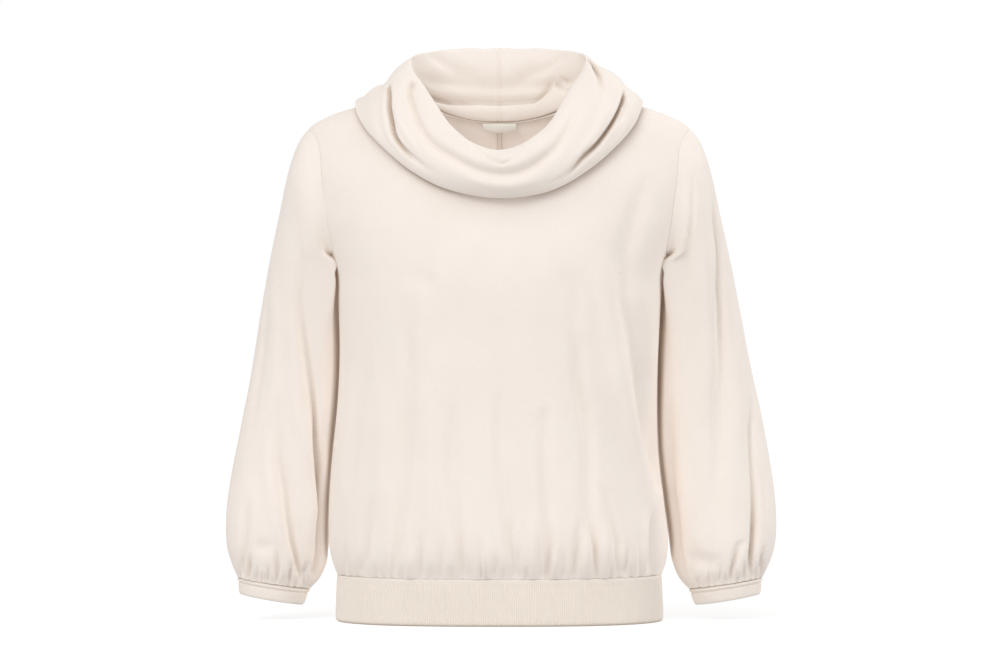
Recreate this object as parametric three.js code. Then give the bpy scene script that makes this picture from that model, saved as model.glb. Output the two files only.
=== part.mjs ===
// A fine-knit pullover with a big cowl collar, three-quarter sleeves gathered into narrow cuffs and a
// body gathered into a ribbed hem, filled out as if it were worn. Every piece of cloth is a thin wall
// with its true worn shape, open at the neck, hem, armholes and cuffs.
// Millimetres, +Z up, front facing -Y, wearer's left on +X. The origin is in the middle of the neck
// opening, level with the points where the shoulder seams meet the collar.
import * as THREE from "three";

// ------------------------------------------------------------------ driving sizes
const KNIT = 2; // wall of the body and sleeves
const RIB = 2.4; // wall of the hem rib and cuffs
const COLLAR = 3.2; // the collar's cloth is doubled
const SEAM = 0.3; // gap along each sewn seam
const CLEAR = 2.4; // air between cloth that only lies against other cloth

const HEM_Z = -571; // lower edge of the rib
const HEM_SEAM_Z = -522; // rib sewn to the body
const UNDERARM_Z = -200;
const SHOULDER_Z = -42; // end of the shoulder seam
const NECK = { half: 96, frontZ: -92, backZ: -30 };
const ARMHOLE = { frontDepth: 50, backDepth: 56, egg: 0.16 };
const COLLAR_AXIS_Y = -18; // middle of the collar, seen from above

// How many faces each run of cloth is split into.
const N = { side: 9, armhole: 9, shoulder: 4, neck: 9, cuff: 2, rib: 2 };

// Body: horizontal sections. left and right are half widths, front and back are depths, and power is
// the squareness of the outline (2 is an ellipse).
const BODY = [
  { z: -522, left: 175.5, right: 175.0, front: 107, back: 95, power: 2.5 },
  { z: -506, left: 181.0, right: 180.0, front: 116, back: 101, power: 2.45 },
  { z: -486, left: 184.0, right: 182.0, front: 120, back: 104, power: 2.4 },
  { z: -440, left: 183.5, right: 177.0, front: 119.5, back: 102, power: 2.4 },
  { z: -390, left: 180.0, right: 171.5, front: 118, back: 98, power: 2.4 },
  { z: -335, left: 174.5, right: 170.5, front: 118, back: 95, power: 2.4 },
  { z: -280, left: 172.5, right: 171.5, front: 119, back: 96, power: 2.4 },
  { z: -227, left: 174.5, right: 174.5, front: 120.5, back: 99, power: 2.4 },
  { z: -200, left: 177.0, right: 177.0, front: 120, back: 101, power: 2.35 },
  { z: -170, left: 188.0, right: 188.0, front: 116, back: 102, power: 2.3 },
  { z: -140, left: 202.0, right: 202.0, front: 109, back: 100, power: 2.2 },
  { z: -100, left: 212.0, right: 212.0, front: 97, back: 91, power: 2.1 },
  { z: -70, left: 212.0, right: 212.0, front: 84, back: 80, power: 1.95 },
  { z: -42, left: 206.0, right: 206.0, front: 65, back: 61, power: 1.75 },
  { z: -28, left: 183.0, right: 183.0, front: 55, back: 54, power: 1.7 },
  { z: -20, left: 160.0, right: 160.0, front: 49, back: 49, power: 1.7 },
  { z: -10, left: 130.0, right: 130.0, front: 39, back: 40, power: 1.7 },
  { z: 0, left: 96.0, right: 96.0, front: 24, back: 25, power: 1.7 },
];

// Sleeve: sections from the armhole to the cuff seam. Each has its inner (underarm) and outer point seen
// from the front, its middle in depth, and its reach to the front and back of that middle. slim is how
// much closer the outer point of the wearer's right sleeve hangs.
const SLEEVE = [
  { run: 0.0, inX: 178, inZ: -203, outX: 208, outZ: -43, y: 2, front: 52, back: 54, slim: 0 },
  { run: 0.06, inX: 177, inZ: -207, outX: 219, outZ: -60, y: 3, front: 54, back: 57, slim: 0 },
  { run: 0.14, inX: 176, inZ: -213, outX: 229.5, outZ: -92, y: 7, front: 55, back: 58, slim: 0 },
  { run: 0.23, inX: 174, inZ: -222, outX: 239.5, outZ: -138, y: 12, front: 54, back: 58, slim: 0.5 },
  { run: 0.33, inX: 171, inZ: -238, outX: 251, outZ: -188, y: 17, front: 53, back: 56, slim: 1.5 },
  { run: 0.43, inX: 167, inZ: -266, outX: 261.5, outZ: -240, y: 22, front: 52, back: 54, slim: 2.5 },
  { run: 0.54, inX: 164, inZ: -312, outX: 272.5, outZ: -296, y: 26, front: 52, back: 52, slim: 4.5 },
  { run: 0.65, inX: 164, inZ: -368, outX: 285, outZ: -352, y: 27, front: 53, back: 52, slim: 6 },
  { run: 0.76, inX: 170, inZ: -424, outX: 295, outZ: -408, y: 25, front: 54, back: 52, slim: 5 },
  { run: 0.86, inX: 180, inZ: -472, outX: 300.5, outZ: -456, y: 21, front: 54, back: 52, slim: 4 },
  { run: 0.93, inX: 186, inZ: -506, outX: 299, outZ: -491, y: 17, front: 50, back: 49, slim: 3 },
  { run: 0.975, inX: 194, inZ: -527, outX: 292, outZ: -513, y: 14, front: 43, back: 42, slim: 2 },
  { run: 1.0, inX: 204, inZ: -538.5, outX: 285, outZ: -526.5, y: 12, front: 35, back: 35, slim: 1 },
];
const CUFF = [
  { run: 0, inX: 206.0, inZ: -539.2, outX: 283.5, outZ: -527.2, y: 12, front: 33, back: 33, slim: 1 },
  { run: 1, inX: 211.5, inZ: -556.5, outX: 283.0, outZ: -544.5, y: 12, front: 31, back: 31, slim: 1 },
];

// Collar: sections round the neck. turn is the angle from the front, positive towards +X. r is measured
// from the collar's axis. rim is the crest where the standing cloth rolls over, edge is the lowest fold
// outside, swell is how full the cloth is between them, and wall is how far the standing cloth leans
// in. Two creases run round the fallen layer: tuck and crease are their places between rim (0) and
// edge (1), and the Deep columns are their depths.
const COLLAR_SECTIONS = [
  { turn: -180, rimR: 96, rimZ: 52, edgeR: 101, edgeZ: -60, swell: 13, wall: 3, tuck: 0.3, tuckDeep: 0, crease: 0.66, creaseDeep: 2 },
  { turn: -150, rimR: 97, rimZ: 50, edgeR: 111, edgeZ: -58, swell: 11, wall: 2, tuck: 0.3, tuckDeep: 1, crease: 0.66, creaseDeep: 3 },
  { turn: -120, rimR: 94, rimZ: 43, edgeR: 128, edgeZ: -46, swell: 5, wall: 1, tuck: 0.28, tuckDeep: 1, crease: 0.6, creaseDeep: 5 },
  { turn: -94, rimR: 96, rimZ: 33, edgeR: 155, edgeZ: -16, swell: 2, wall: 0, tuck: 0.22, tuckDeep: 0, crease: 0.46, creaseDeep: 9 },
  { turn: -80, rimR: 93, rimZ: 18, edgeR: 151, edgeZ: -37, swell: 9, wall: -1, tuck: 0.2, tuckDeep: 0, crease: 0.52, creaseDeep: 9 },
  { turn: -68, rimR: 87, rimZ: 3, edgeR: 141, edgeZ: -60, swell: 16, wall: -1, tuck: 0.3, tuckDeep: 1, crease: 0.6, creaseDeep: 8 },
  { turn: -51, rimR: 85, rimZ: -22, edgeR: 118, edgeZ: -93, swell: 20, wall: -1, tuck: 0.34, tuckDeep: 6, crease: 0.74, creaseDeep: 6 },
  { turn: -30, rimR: 90, rimZ: -50, edgeR: 103, edgeZ: -113, swell: 19, wall: 0, tuck: 0.42, tuckDeep: 7, crease: 0.84, creaseDeep: 2 },
  { turn: 0, rimR: 95, rimZ: -70, edgeR: 97, edgeZ: -121, swell: 18, wall: 0, tuck: 0.56, tuckDeep: 6, crease: 0.86, creaseDeep: 0 },
  { turn: 30, rimR: 90, rimZ: -48, edgeR: 104, edgeZ: -114, swell: 19, wall: 0, tuck: 0.42, tuckDeep: 6, crease: 0.72, creaseDeep: 4 },
  { turn: 51, rimR: 84, rimZ: -19, edgeR: 118, edgeZ: -93, swell: 22, wall: -1, tuck: 0.3, tuckDeep: 5, crease: 0.72, creaseDeep: 8 },
  { turn: 68, rimR: 85, rimZ: 5, edgeR: 138, edgeZ: -61, swell: 21, wall: -1, tuck: 0.3, tuckDeep: 2, crease: 0.72, creaseDeep: 8 },
  { turn: 80, rimR: 90, rimZ: 20, edgeR: 149, edgeZ: -36, swell: 16, wall: -1, tuck: 0.26, tuckDeep: 4, crease: 0.66, creaseDeep: 8 },
  { turn: 94, rimR: 93, rimZ: 34, edgeR: 154, edgeZ: -15, swell: 6, wall: 0, tuck: 0.24, tuckDeep: 4, crease: 0.68, creaseDeep: 6 },
  { turn: 120, rimR: 95, rimZ: 44, edgeR: 128, edgeZ: -46, swell: 6, wall: 1, tuck: 0.28, tuckDeep: 2, crease: 0.66, creaseDeep: 4 },
  { turn: 150, rimR: 97, rimZ: 50, edgeR: 111, edgeZ: -58, swell: 11, wall: 2, tuck: 0.3, tuckDeep: 1, crease: 0.66, creaseDeep: 3 },
  { turn: 180, rimR: 96, rimZ: 52, edgeR: 101, edgeZ: -60, swell: 13, wall: 3, tuck: 0.3, tuckDeep: 0, crease: 0.66, creaseDeep: 2 },
];
// Soft rolls low inside the back of the standing cloth: at is the place between the seam (0) and the
// rim (1), and out is how far the roll stands into the neck (+) or sinks (-).
const INSIDE_ROLLS = [
  { at: 0.14, width: 0.1, out: 5 },
  { at: 0.31, width: 0.08, out: -5 },
  { at: 0.62, width: 0.2, out: 2 },
];

// Long soft folds of the body: across is the place between the side seams seen from the front (-1 to 1)
// at its top and foot, width is half the fold, and out is how far it stands out (+) or sinks (-).
const FRONT_FOLDS = [
  { top: -190, foot: -522, acrossTop: 0.66, acrossFoot: 0.97, width: 26, out: -7 },
  { top: -230, foot: -522, acrossTop: 0.5, acrossFoot: 0.82, width: 24, out: 4 },
  { top: -330, foot: -522, acrossTop: 0.52, acrossFoot: 0.52, width: 15, out: -3 },
  { top: -380, foot: -522, acrossTop: 0.36, acrossFoot: 0.33, width: 13, out: 2 },
  { top: -400, foot: -522, acrossTop: 0.14, acrossFoot: 0.19, width: 13, out: -3 },
  { top: -330, foot: -522, acrossTop: -0.12, acrossFoot: -0.06, width: 15, out: 2 },
  { top: -380, foot: -522, acrossTop: -0.24, acrossFoot: -0.23, width: 13, out: -3 },
  { top: -300, foot: -522, acrossTop: -0.46, acrossFoot: -0.45, width: 16, out: -3 },
  { top: -330, foot: -522, acrossTop: -0.62, acrossFoot: -0.62, width: 15, out: 2 },
  { top: -430, foot: -522, acrossTop: -0.78, acrossFoot: -0.79, width: 13, out: -3 },
];
const BACK_FOLDS = [
  { top: -260, foot: -522, acrossTop: -0.7, acrossFoot: -0.88, width: 24, out: -5 },
  { top: -330, foot: -522, acrossTop: -0.5, acrossFoot: -0.56, width: 16, out: -3 },
  { top: -390, foot: -522, acrossTop: -0.3, acrossFoot: -0.33, width: 13, out: 2 },
  { top: -350, foot: -522, acrossTop: -0.16, acrossFoot: -0.16, width: 14, out: -3 },
  { top: -400, foot: -522, acrossTop: 0.1, acrossFoot: 0.12, width: 13, out: -3 },
  { top: -340, foot: -522, acrossTop: 0.34, acrossFoot: 0.38, width: 15, out: 2 },
  { top: -300, foot: -522, acrossTop: 0.5, acrossFoot: 0.6, width: 18, out: -3 },
  { top: -250, foot: -522, acrossTop: 0.72, acrossFoot: 0.86, width: 24, out: -5 },
];
// Folds of a sleeve: round is the angle from the underarm, through the front, in degrees, at its top
// and foot; the others are as above, with run as in SLEEVE.
const SLEEVE_FOLDS = [
  { top: 0.2, foot: 1.0, roundTop: 62, roundFoot: 50, width: 20, out: -6 },
  { top: 0.45, foot: 1.0, roundTop: 100, roundFoot: 84, width: 16, out: -3 },
  { top: 0.3, foot: 1.0, roundTop: 138, roundFoot: 134, width: 18, out: -3 },
  { top: 0.4, foot: 1.0, roundTop: 215, roundFoot: 222, width: 18, out: -3 },
  { top: 0.3, foot: 1.0, roundTop: 285, roundFoot: 295, width: 20, out: -4 },
];

// Label: a strip sewn under the back of the collar, blank.
const LABEL = { width: 36, height: 12, thick: 0.8, sag: 2.5 };

// ------------------------------------------------------------------ helpers
const lerp = (a, b, t) => a + (b - a) * t;
const clamp = (v, lo, hi) => Math.min(hi, Math.max(lo, v));
const rad = THREE.MathUtils.degToRad;

// Smooth value of rows[key] at a place along rows[along] (cubic, with slopes from the neighbours).
function read(rows, along, key, at) {
  const last = rows.length - 1;
  const x = clamp(at, rows[0][along], rows[last][along]);
  let i = 0;
  while (i < last - 1 && x > rows[i + 1][along]) i++;
  const slope = (k) => {
    const a = rows[Math.max(0, k - 1)], b = rows[Math.min(last, k + 1)];
    return (b[key] - a[key]) / (b[along] - a[along]);
  };
  const a = rows[i], b = rows[i + 1], h = b[along] - a[along], t = (x - a[along]) / h;
  const t2 = t * t, t3 = t2 * t;
  return (
    a[key] * (2 * t3 - 3 * t2 + 1) + b[key] * (3 * t2 - 2 * t3) +
    h * slope(i) * (t3 - 2 * t2 + t) + h * slope(i + 1) * (t3 - t2)
  );
}
const bell = (d) => Math.exp(-d * d);
const ease = (t) => { const c = clamp(t, 0, 1); return c * c * (3 - 2 * c); };

// ------------------------------------------------------------------ body surface
const halfWidth = (z, side) => read(BODY, "z", side < 0 ? "left" : "right", z);
const depth = (z, face) => read(BODY, "z", face < 0 ? "front" : "back", z);
const power = (z) => read(BODY, "z", "power", z);

// Point of the body's section at height z. across runs from -1 (the -X side seam) to 1; face is -1 for
// the front and 1 for the back.
function bodyPoint(across, z, face) {
  const a = across * Math.PI / 2, n = power(z);
  const s = Math.abs(Math.sin(a)), c = Math.abs(Math.cos(a));
  const r = Math.pow(Math.pow(s, n) + Math.pow(c, n), -1 / n);
  return new THREE.Vector3(
    Math.sign(across) * halfWidth(z, across) * r * s,
    face * depth(z, face) * r * c,
    z,
  );
}
// across at which the section at height z reaches a depth, or a half width.
function acrossAtDepth(y, z, face) {
  let lo = 0, hi = 1;
  for (let k = 0; k < 40; k++) {
    const mid = (lo + hi) / 2;
    if (Math.abs(bodyPoint(mid, z, face).y) > Math.abs(y)) lo = mid;
    else hi = mid;
  }
  return (lo + hi) / 2;
}
function acrossAtWidth(x, z, face) {
  let lo = 0, hi = 1;
  for (let k = 0; k < 40; k++) {
    const mid = (lo + hi) / 2;
    if (bodyPoint(mid, z, face).x < x) lo = mid;
    else hi = mid;
  }
  return (lo + hi) / 2;
}
// How far a point is outside the body, along X, as a width to keep clear of.
function bodySideX(y, z, side) {
  const d = depth(z, y < 0 ? -1 : 1), n = power(z);
  if (Math.abs(y) >= d) return 0;
  return halfWidth(z, side) * Math.pow(1 - Math.pow(Math.abs(y) / d, n), 1 / n);
}

// ------------------------------------------------------------------ seams, as [width, height] on the body
const flat = (across, z) => [across * halfWidth(z, across), z];
const armholeSeam = (k, side, face) => {
  const a = Math.PI * (1 - k); // k is 0 at the underarm and 1 at the shoulder
  const mid = (UNDERARM_Z + SHOULDER_Z) / 2, half = (SHOULDER_Z - UNDERARM_Z) / 2;
  const z = mid + half * Math.cos(a);
  const w = face < 0 ? ARMHOLE.frontDepth : ARMHOLE.backDepth;
  const y = w * Math.sin(a) * (1 - ARMHOLE.egg * Math.cos(a));
  return flat(side * acrossAtDepth(y, z, face), z);
};
const sideEdge = (j, side, face) =>
  j <= N.side
    ? flat(side, lerp(HEM_SEAM_Z + SEAM, UNDERARM_Z, j / N.side))
    : armholeSeam((j - N.side) / N.armhole, side, face);
const neckSeam = (k, side, face) => {
  const a = (k * Math.PI) / 2; // k is 0 at the shoulder and 1 at the middle
  const z = (face < 0 ? NECK.frontZ : NECK.backZ) * Math.pow(Math.sin(a), face < 0 ? 1.25 : 1.6);
  const x = NECK.half * Math.cos(a);
  return flat(side * acrossAtWidth(x, z, face), z);
};
const topEdge = (i, side, face) =>
  // i counts from the shoulder point to the middle
  i <= N.shoulder
    ? flat(side, shoulderHeight(lerp(206, NECK.half, i / N.shoulder)))
    : neckSeam((i - N.shoulder) / N.neck, side, face);
function shoulderHeight(x) {
  let lo = SHOULDER_Z, hi = 0;
  for (let k = 0; k < 40; k++) {
    const mid = (lo + hi) / 2;
    if (halfWidth(mid, 1) > x) lo = mid;
    else hi = mid;
  }
  return (lo + hi) / 2;
}

// ------------------------------------------------------------------ folds
function bodyFold(width, z, folds) {
  let out = 0;
  for (const f of folds) {
    const t = clamp((z - f.top) / (f.foot - f.top), 0, 1);
    const middle = lerp(f.acrossTop, f.acrossFoot, t) * 175;
    out += f.out * ease(t * 1.8) * bell((width - middle) / f.width);
  }
  return out * ease((HEM_SEAM_Z - z) / -14);
}

// ------------------------------------------------------------------ walls
// A wall from a grid of outer points: rows[j][i]. loop joins the last column to the first. The wall grows
// away from the side that columns crossed with rows point to, or towards it with flip. outward gives
// the direction out of the cloth where neighbours meet along a seam.
function wall(rows, thick, { loop = false, flip = false, outward = null } = {}) {
  const nv = rows.length, nu = rows[0].length;
  const at = (j, i) => rows[clamp(j, 0, nv - 1)][loop ? (i + nu) % nu : clamp(i, 0, nu - 1)];
  const normals = rows.map((row, j) =>
    row.map((p, i) => {
      const given = outward && outward(j, i);
      if (given) return given;
      const du = at(j, i + 1).clone().sub(at(j, i - 1));
      const dv = at(j + 1, i).clone().sub(at(j - 1, i));
      return du.cross(dv).normalize().multiplyScalar(flip ? -1 : 1);
    }),
  );
  const points = [];
  for (let j = 0; j < nv; j++) for (let i = 0; i < nu; i++) points.push(rows[j][i]);
  for (let j = 0; j < nv; j++)
    for (let i = 0; i < nu; i++)
      points.push(rows[j][i].clone().addScaledVector(normals[j][i], -thick));
  const id = (j, i, side) => side * nv * nu + j * nu + (loop ? i % nu : i);
  const faces = [];
  // Each quad is cut along its shorter diagonal, the same way on both sides of the wall.
  const quad = (a, b, c, d) => {
    const m = nv * nu, o = (k) => points[k % m];
    if (o(a).distanceTo(o(c)) <= o(b).distanceTo(o(d)) + 1e-6) faces.push(a, b, c, a, c, d);
    else faces.push(b, c, d, b, d, a);
  };
  const columns = loop ? nu : nu - 1;
  for (let j = 0; j < nv - 1; j++)
    for (let i = 0; i < columns; i++) {
      quad(id(j, i, 0), id(j, i + 1, 0), id(j + 1, i + 1, 0), id(j + 1, i, 0));
      quad(id(j, i, 1), id(j + 1, i, 1), id(j + 1, i + 1, 1), id(j, i + 1, 1));
    }
  for (let i = 0; i < columns; i++) {
    quad(id(0, i, 0), id(0, i, 1), id(0, i + 1, 1), id(0, i + 1, 0));
    quad(id(nv - 1, i, 0), id(nv - 1, i + 1, 0), id(nv - 1, i + 1, 1), id(nv - 1, i, 1));
  }
  if (!loop)
    for (let j = 0; j < nv - 1; j++) {
      quad(id(j, 0, 0), id(j + 1, 0, 0), id(j + 1, 0, 1), id(j, 0, 1));
      quad(id(j, nu - 1, 0), id(j, nu - 1, 1), id(j + 1, nu - 1, 1), id(j + 1, nu - 1, 0));
    }
  const g = new THREE.BufferGeometry();
  g.setAttribute("position", new THREE.Float32BufferAttribute(points.flatMap((p) => p.toArray()), 3));
  g.setIndex(faces);
  // Faces must point out: a grid that runs the other way is turned round.
  let volume = 0;
  for (let f = 0; f < faces.length; f += 3) {
    const [a, b, c] = [points[faces[f]], points[faces[f + 1]], points[faces[f + 2]]];
    volume += a.dot(b.clone().cross(c)) / 6;
  }
  if (volume < 0) {
    for (let f = 0; f < faces.length; f += 3)
      [faces[f + 1], faces[f + 2]] = [faces[f + 2], faces[f + 1]];
    g.setIndex(faces);
  }
  g.computeVertexNormals();
  return g;
}

// ------------------------------------------------------------------ front and back panels
// Coons patch on the flat [width, height] plan, then laid on the body. from and to are the sides that
// the panel reaches: -1 and 1 are the side seams, 0 is the middle.
function panel(face, from, to, folds) {
  const nv = N.side + N.armhole, half = N.shoulder + N.neck;
  const columns = (from === 0 || to === 0 ? 1 : 2) * half;
  const trim = (p, side) => p; // the seam gap is taken off in 3-D below
  const middle = (j) => {
    const top = neckSeam(1, 1, face)[1];
    return [0, lerp(HEM_SEAM_Z + SEAM, top, j / nv)];
  };
  const edge = (j, side) => (side === 0 ? middle(j) : sideEdge(j, side, face));
  const top = (i) => {
    if (from === 0) return topEdge(half - i, 1, face);
    if (to === 0) return topEdge(i, -1, face);
    return i <= half ? topEdge(i, -1, face) : topEdge(columns - i, 1, face);
  };
  const bottom = (i) => {
    const a = lerp(from, to, i / columns);
    return flat(a === 0 ? 1e-9 : a, HEM_SEAM_Z + SEAM);
  };
  const rows = [];
  for (let j = 0; j <= nv; j++) {
    const v = j / nv, row = [];
    for (let i = 0; i <= columns; i++) {
      const u = i / columns;
      const L = edge(j, from), R = edge(j, to), B = bottom(i), T = top(i);
      const c00 = bottom(0), c10 = bottom(columns), c01 = top(0), c11 = top(columns);
      const p = [0, 1].map(
        (k) =>
          (1 - v) * B[k] + v * T[k] + (1 - u) * L[k] + u * R[k] -
          ((1 - u) * (1 - v) * c00[k] + u * (1 - v) * c10[k] + (1 - u) * v * c01[k] + u * v * c11[k]),
      );
      row.push(p);
    }
    rows.push(row);
  }
  // Onto the body, with the folds, and drawn back by half the seam gap along the side and shoulder seams.
  const laid = rows.map((row, j) =>
    row.map(([w, z], i) => {
      const across = clamp(w / halfWidth(z, w), -1, 1);
      const p = bodyPoint(across, z, face);
      const q = bodyPoint(clamp(across * 0.98 + 0.001, -1, 1), z, face);
      const n = new THREE.Vector3(p.x / 1.6, p.y, 0).normalize();
      const open = ease((1 - Math.abs(across)) * 6); // no fold at the seams
      p.addScaledVector(n, bodyFold(w, z, folds) * open);
      if (Math.abs(p.y) < SEAM / 2 + 1e-6) p.y = (face * SEAM) / 2;
      if (from === 0 || to === 0) if (Math.abs(p.x) < SEAM / 2) p.x = ((from + to) * SEAM) / 2;
      return p;
    }),
  );
  return { laid, top: laid[nv], columns };
}

// Direction out of the body, used where panels meet so that their walls line up.
function outOfBody(p) {
  const face = p.y < 0 ? -1 : 1, side = p.x < 0 ? -1 : 1, e = 0.5;
  const f = (x, y, z) => {
    const n = power(z);
    return (
      Math.pow(Math.abs(x) / halfWidth(z, side), n) + Math.pow(Math.abs(y) / depth(z, face), n)
    );
  };
  const g = new THREE.Vector3(
    f(p.x + e, p.y, p.z) - f(p.x - e, p.y, p.z),
    Math.abs(p.y) < 2 ? 0 : f(p.x, p.y + e, p.z) - f(p.x, p.y - e, p.z),
    f(p.x, p.y, Math.min(p.z + e, 0)) - f(p.x, p.y, p.z - e),
  );
  return g.normalize();
}
function panelGeometry(face, from, to, folds) {
  const { laid, columns } = panel(face, from, to, folds);
  const nv = laid.length - 1;
  const onSeam = (j, i) => j === nv || j === 0 || i === 0 || i === columns;
  return wall(laid, KNIT, {
    flip: face > 0,
    outward: (j, i) => {
      if (!onSeam(j, i)) return null;
      const n = outOfBody(laid[j][i]);
      if (j === 0) n.z = 0;
      if ((i === 0 || i === columns || Math.abs(laid[j][i].y) < 1) && Math.abs(laid[j][i].y) < 1) n.y = 0;
      if ((from === 0 && i === 0) || (to === 0 && i === columns)) n.x = 0;
      return n.normalize();
    },
  });
}

// ------------------------------------------------------------------ sleeves and cuffs
// The armhole seam as points, from the underarm through the front to the shoulder and down the back.
function armholeLoop(side) {
  const loop = [];
  for (let k = 0; k < 2 * N.armhole; k++) {
    const face = k <= N.armhole ? -1 : 1;
    const j = k <= N.armhole ? k : 2 * N.armhole - k;
    const [w, z] = armholeSeam(j / N.armhole, side, face);
    loop.push(bodyPoint(w / halfWidth(z, w), z, face));
  }
  return loop;
}
// Direction that leaves the body panel square to the armhole seam, along the cloth.
function leaving(loop, k) {
  const m = loop.length;
  const along = loop[(k + 1) % m].clone().sub(loop[(k + m - 1) % m]);
  const n = outOfBody(loop[k]);
  const d = along.cross(n).normalize();
  return d.dot(new THREE.Vector3(loop[k].x, 0, 0)) < 0 ? d.negate() : d;
}
// Point of a sleeve or cuff section. round is the angle from the underarm, through the front.
function tubePoint(rows, run, round, side) {
  const get = (key) => read(rows, "run", key, run);
  const c = -Math.cos(round), s = Math.sin(round);
  const t = (c + 1) / 2;
  return new THREE.Vector3(
    side * lerp(get("inX"), get("outX") - (side < 0 ? get("slim") : 0), t),
    get("y") - (s > 0 ? get("front") : get("back")) * s,
    lerp(get("inZ"), get("outZ"), t),
  );
}
function sleeveFold(run, round) {
  let out = 0;
  for (const f of SLEEVE_FOLDS) {
    const t = clamp((run - f.top) / (f.foot - f.top), 0, 1);
    let d = round - rad(lerp(f.roundTop, f.roundFoot, t));
    d = Math.atan2(Math.sin(d), Math.cos(d));
    out += f.out * ease(t * 2.5) * bell((d * 52) / f.width);
  }
  return out * ease((1 - run) * 14);
}
function sleeveRows(side) {
  const count = 2 * N.armhole;
  const first = armholeLoop(side);
  const runs = SLEEVE.map((r) => r.run);
  return runs.map((run, j) => {
    const row = [];
    for (let k = 0; k < count; k++) {
      const round = (k / count) * 2 * Math.PI;
      let p = tubePoint(SLEEVE, run, round, side);
      const n = new THREE.Vector3(-side * Math.cos(round), -Math.sin(round), 0).normalize();
      p.addScaledVector(n, sleeveFold(run, round));
      if (j === 0) {
        // sewn to the armhole: its seam, moved off the panel by the seam gap
        const low = ease((UNDERARM_Z + 30 - first[k].z) / 25);
        p = first[k].clone().addScaledVector(leaving(first, k), SEAM * 1.5);
        p.addScaledVector(outOfBody(first[k]), 1.9 * low);
      } else {
        // soft cloth lies against the body and stays clear of it
        const zone = p.z > UNDERARM_Z ? 3.5 : 0;
        const near = [-9, 0, 9].map((d) => bodySideX(p.y + d, p.z, side));
        const keep = Math.max(...near) + CLEAR + zone * Math.abs(Math.sin(round));
        if (p.z < UNDERARM_Z + 14 && Math.abs(p.x) < keep) p.x = side * keep;
        if (j === 1) p.lerp(first[k].clone().add(new THREE.Vector3(side * 12, 0, 0)), 0.35);
      }
      row.push(p);
    }
    return row;
  });
}
function cuffRows(side) {
  const count = 2 * N.armhole, rows = [];
  for (let j = 0; j <= N.cuff; j++) {
    const row = [];
    for (let k = 0; k < count; k++)
      row.push(tubePoint(CUFF, j / N.cuff, (k / count) * 2 * Math.PI, side));
    rows.push(row);
  }
  return rows;
}

// ------------------------------------------------------------------ hem rib
function ribGeometry(face) {
  const columns = 2 * (N.shoulder + N.neck), rows = [];
  for (let j = 0; j <= N.rib; j++) {
    const t = j / N.rib, row = [];
    for (let i = 0; i <= columns; i++) {
      const a = lerp(-1, 1, i / columns);
      const p = bodyPoint(a, HEM_SEAM_Z, face);
      p.x *= lerp(1, 1.006, t);
      p.y *= lerp(1, 1.012, t);
      p.z = lerp(HEM_SEAM_Z - SEAM, HEM_Z, t);
      if (Math.abs(p.y) < SEAM / 2 + 1e-6) p.y = (face * SEAM) / 2;
      row.push(p);
    }
    rows.push(row);
  }
  return wall(rows, RIB, {
    flip: face < 0,
    outward: (j, i) => {
      if (i !== 0 && i !== columns) return null;
      return new THREE.Vector3(Math.sign(rows[j][i].x), 0, 0);
    },
  });
}

// ------------------------------------------------------------------ collar
// Point of the fallen layer at t between the rim and the edge, and the way out of it, in [r, z].
function fallen(turn, t) {
  const get = (key) => read(COLLAR_SECTIONS, "turn", key, turn);
  const dr = get("edgeR") - get("rimR"), dz = get("edgeZ") - get("rimZ"), long = Math.hypot(dr, dz);
  const full = get("swell") * Math.pow(1 - Math.pow(Math.abs(2 * t - 1), 2.4), 0.62);
  const dip = get("tuckDeep") * bell((t - get("tuck")) / 0.11) +
    get("creaseDeep") * bell((t - get("crease")) / 0.1);
  const d = full - dip * ease(t / 0.12) * ease((1 - t) / 0.12);
  return [get("rimR") + dr * t - (dz / long) * d, get("rimZ") + dz * t + (dr / long) * d];
}
// Point of the standing cloth at t between the seam and the rim, in [r, z].
function standing(turn, t, seamR, seamZ) {
  const get = (key) => read(COLLAR_SECTIONS, "turn", key, turn);
  const rise = [get("rimR") - seamR, get("rimZ") - seamZ], next = fallen(turn, 0.1);
  const curve = new THREE.SplineCurve([
    new THREE.Vector2(seamR, seamZ),
    new THREE.Vector2(seamR + rise[0] * 0.2 - get("wall"), seamZ + rise[1] * 0.36),
    new THREE.Vector2(seamR + rise[0] * 0.58 - get("wall"), seamZ + rise[1] * 0.76),
    new THREE.Vector2(get("rimR"), get("rimZ")),
    new THREE.Vector2(next[0], next[1]),
  ]);
  const c = curve.getPoint(t * 0.75), back = ease((Math.abs(turn) - 95) / 50);
  let roll = 0;
  for (const f of INSIDE_ROLLS) roll += f.out * bell((t - f.at) / f.width);
  return [c.x - roll * back * ease(t / 0.08), c.y];
}
// Signed distance of a point from the outside of the body, and the way out.
function offBody(p) {
  const z = Math.min(p.z, -0.6), at = (x, y, h) => {
    const n = power(h);
    return Math.pow(
      Math.pow(Math.abs(x) / halfWidth(h, x), n) + Math.pow(Math.abs(y) / depth(h, y), n), 1 / n);
  };
  const e = 0.5, f = at(p.x, p.y, z);
  const g = new THREE.Vector3(
    at(p.x + e, p.y, z) - at(p.x - e, p.y, z),
    at(p.x, p.y + e, z) - at(p.x, p.y - e, z),
    at(p.x, p.y, z + e) - at(p.x, p.y, z - e),
  ).divideScalar(2 * e);
  const steep = g.length();
  return { away: (f - 1) / steep + Math.max(0, p.z - z) * 0.9, out: g.divideScalar(steep) };
}
// Keeps a point of the outer layer clear of the shoulders and chest under it.
function clearOfBody(p, gap) {
  for (let k = 0; k < 12; k++) {
    const { away, out } = offBody(p);
    if (away >= gap) return p;
    p.addScaledVector(out, Math.min(4, gap - away + 0.2));
  }
  return p;
}
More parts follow.
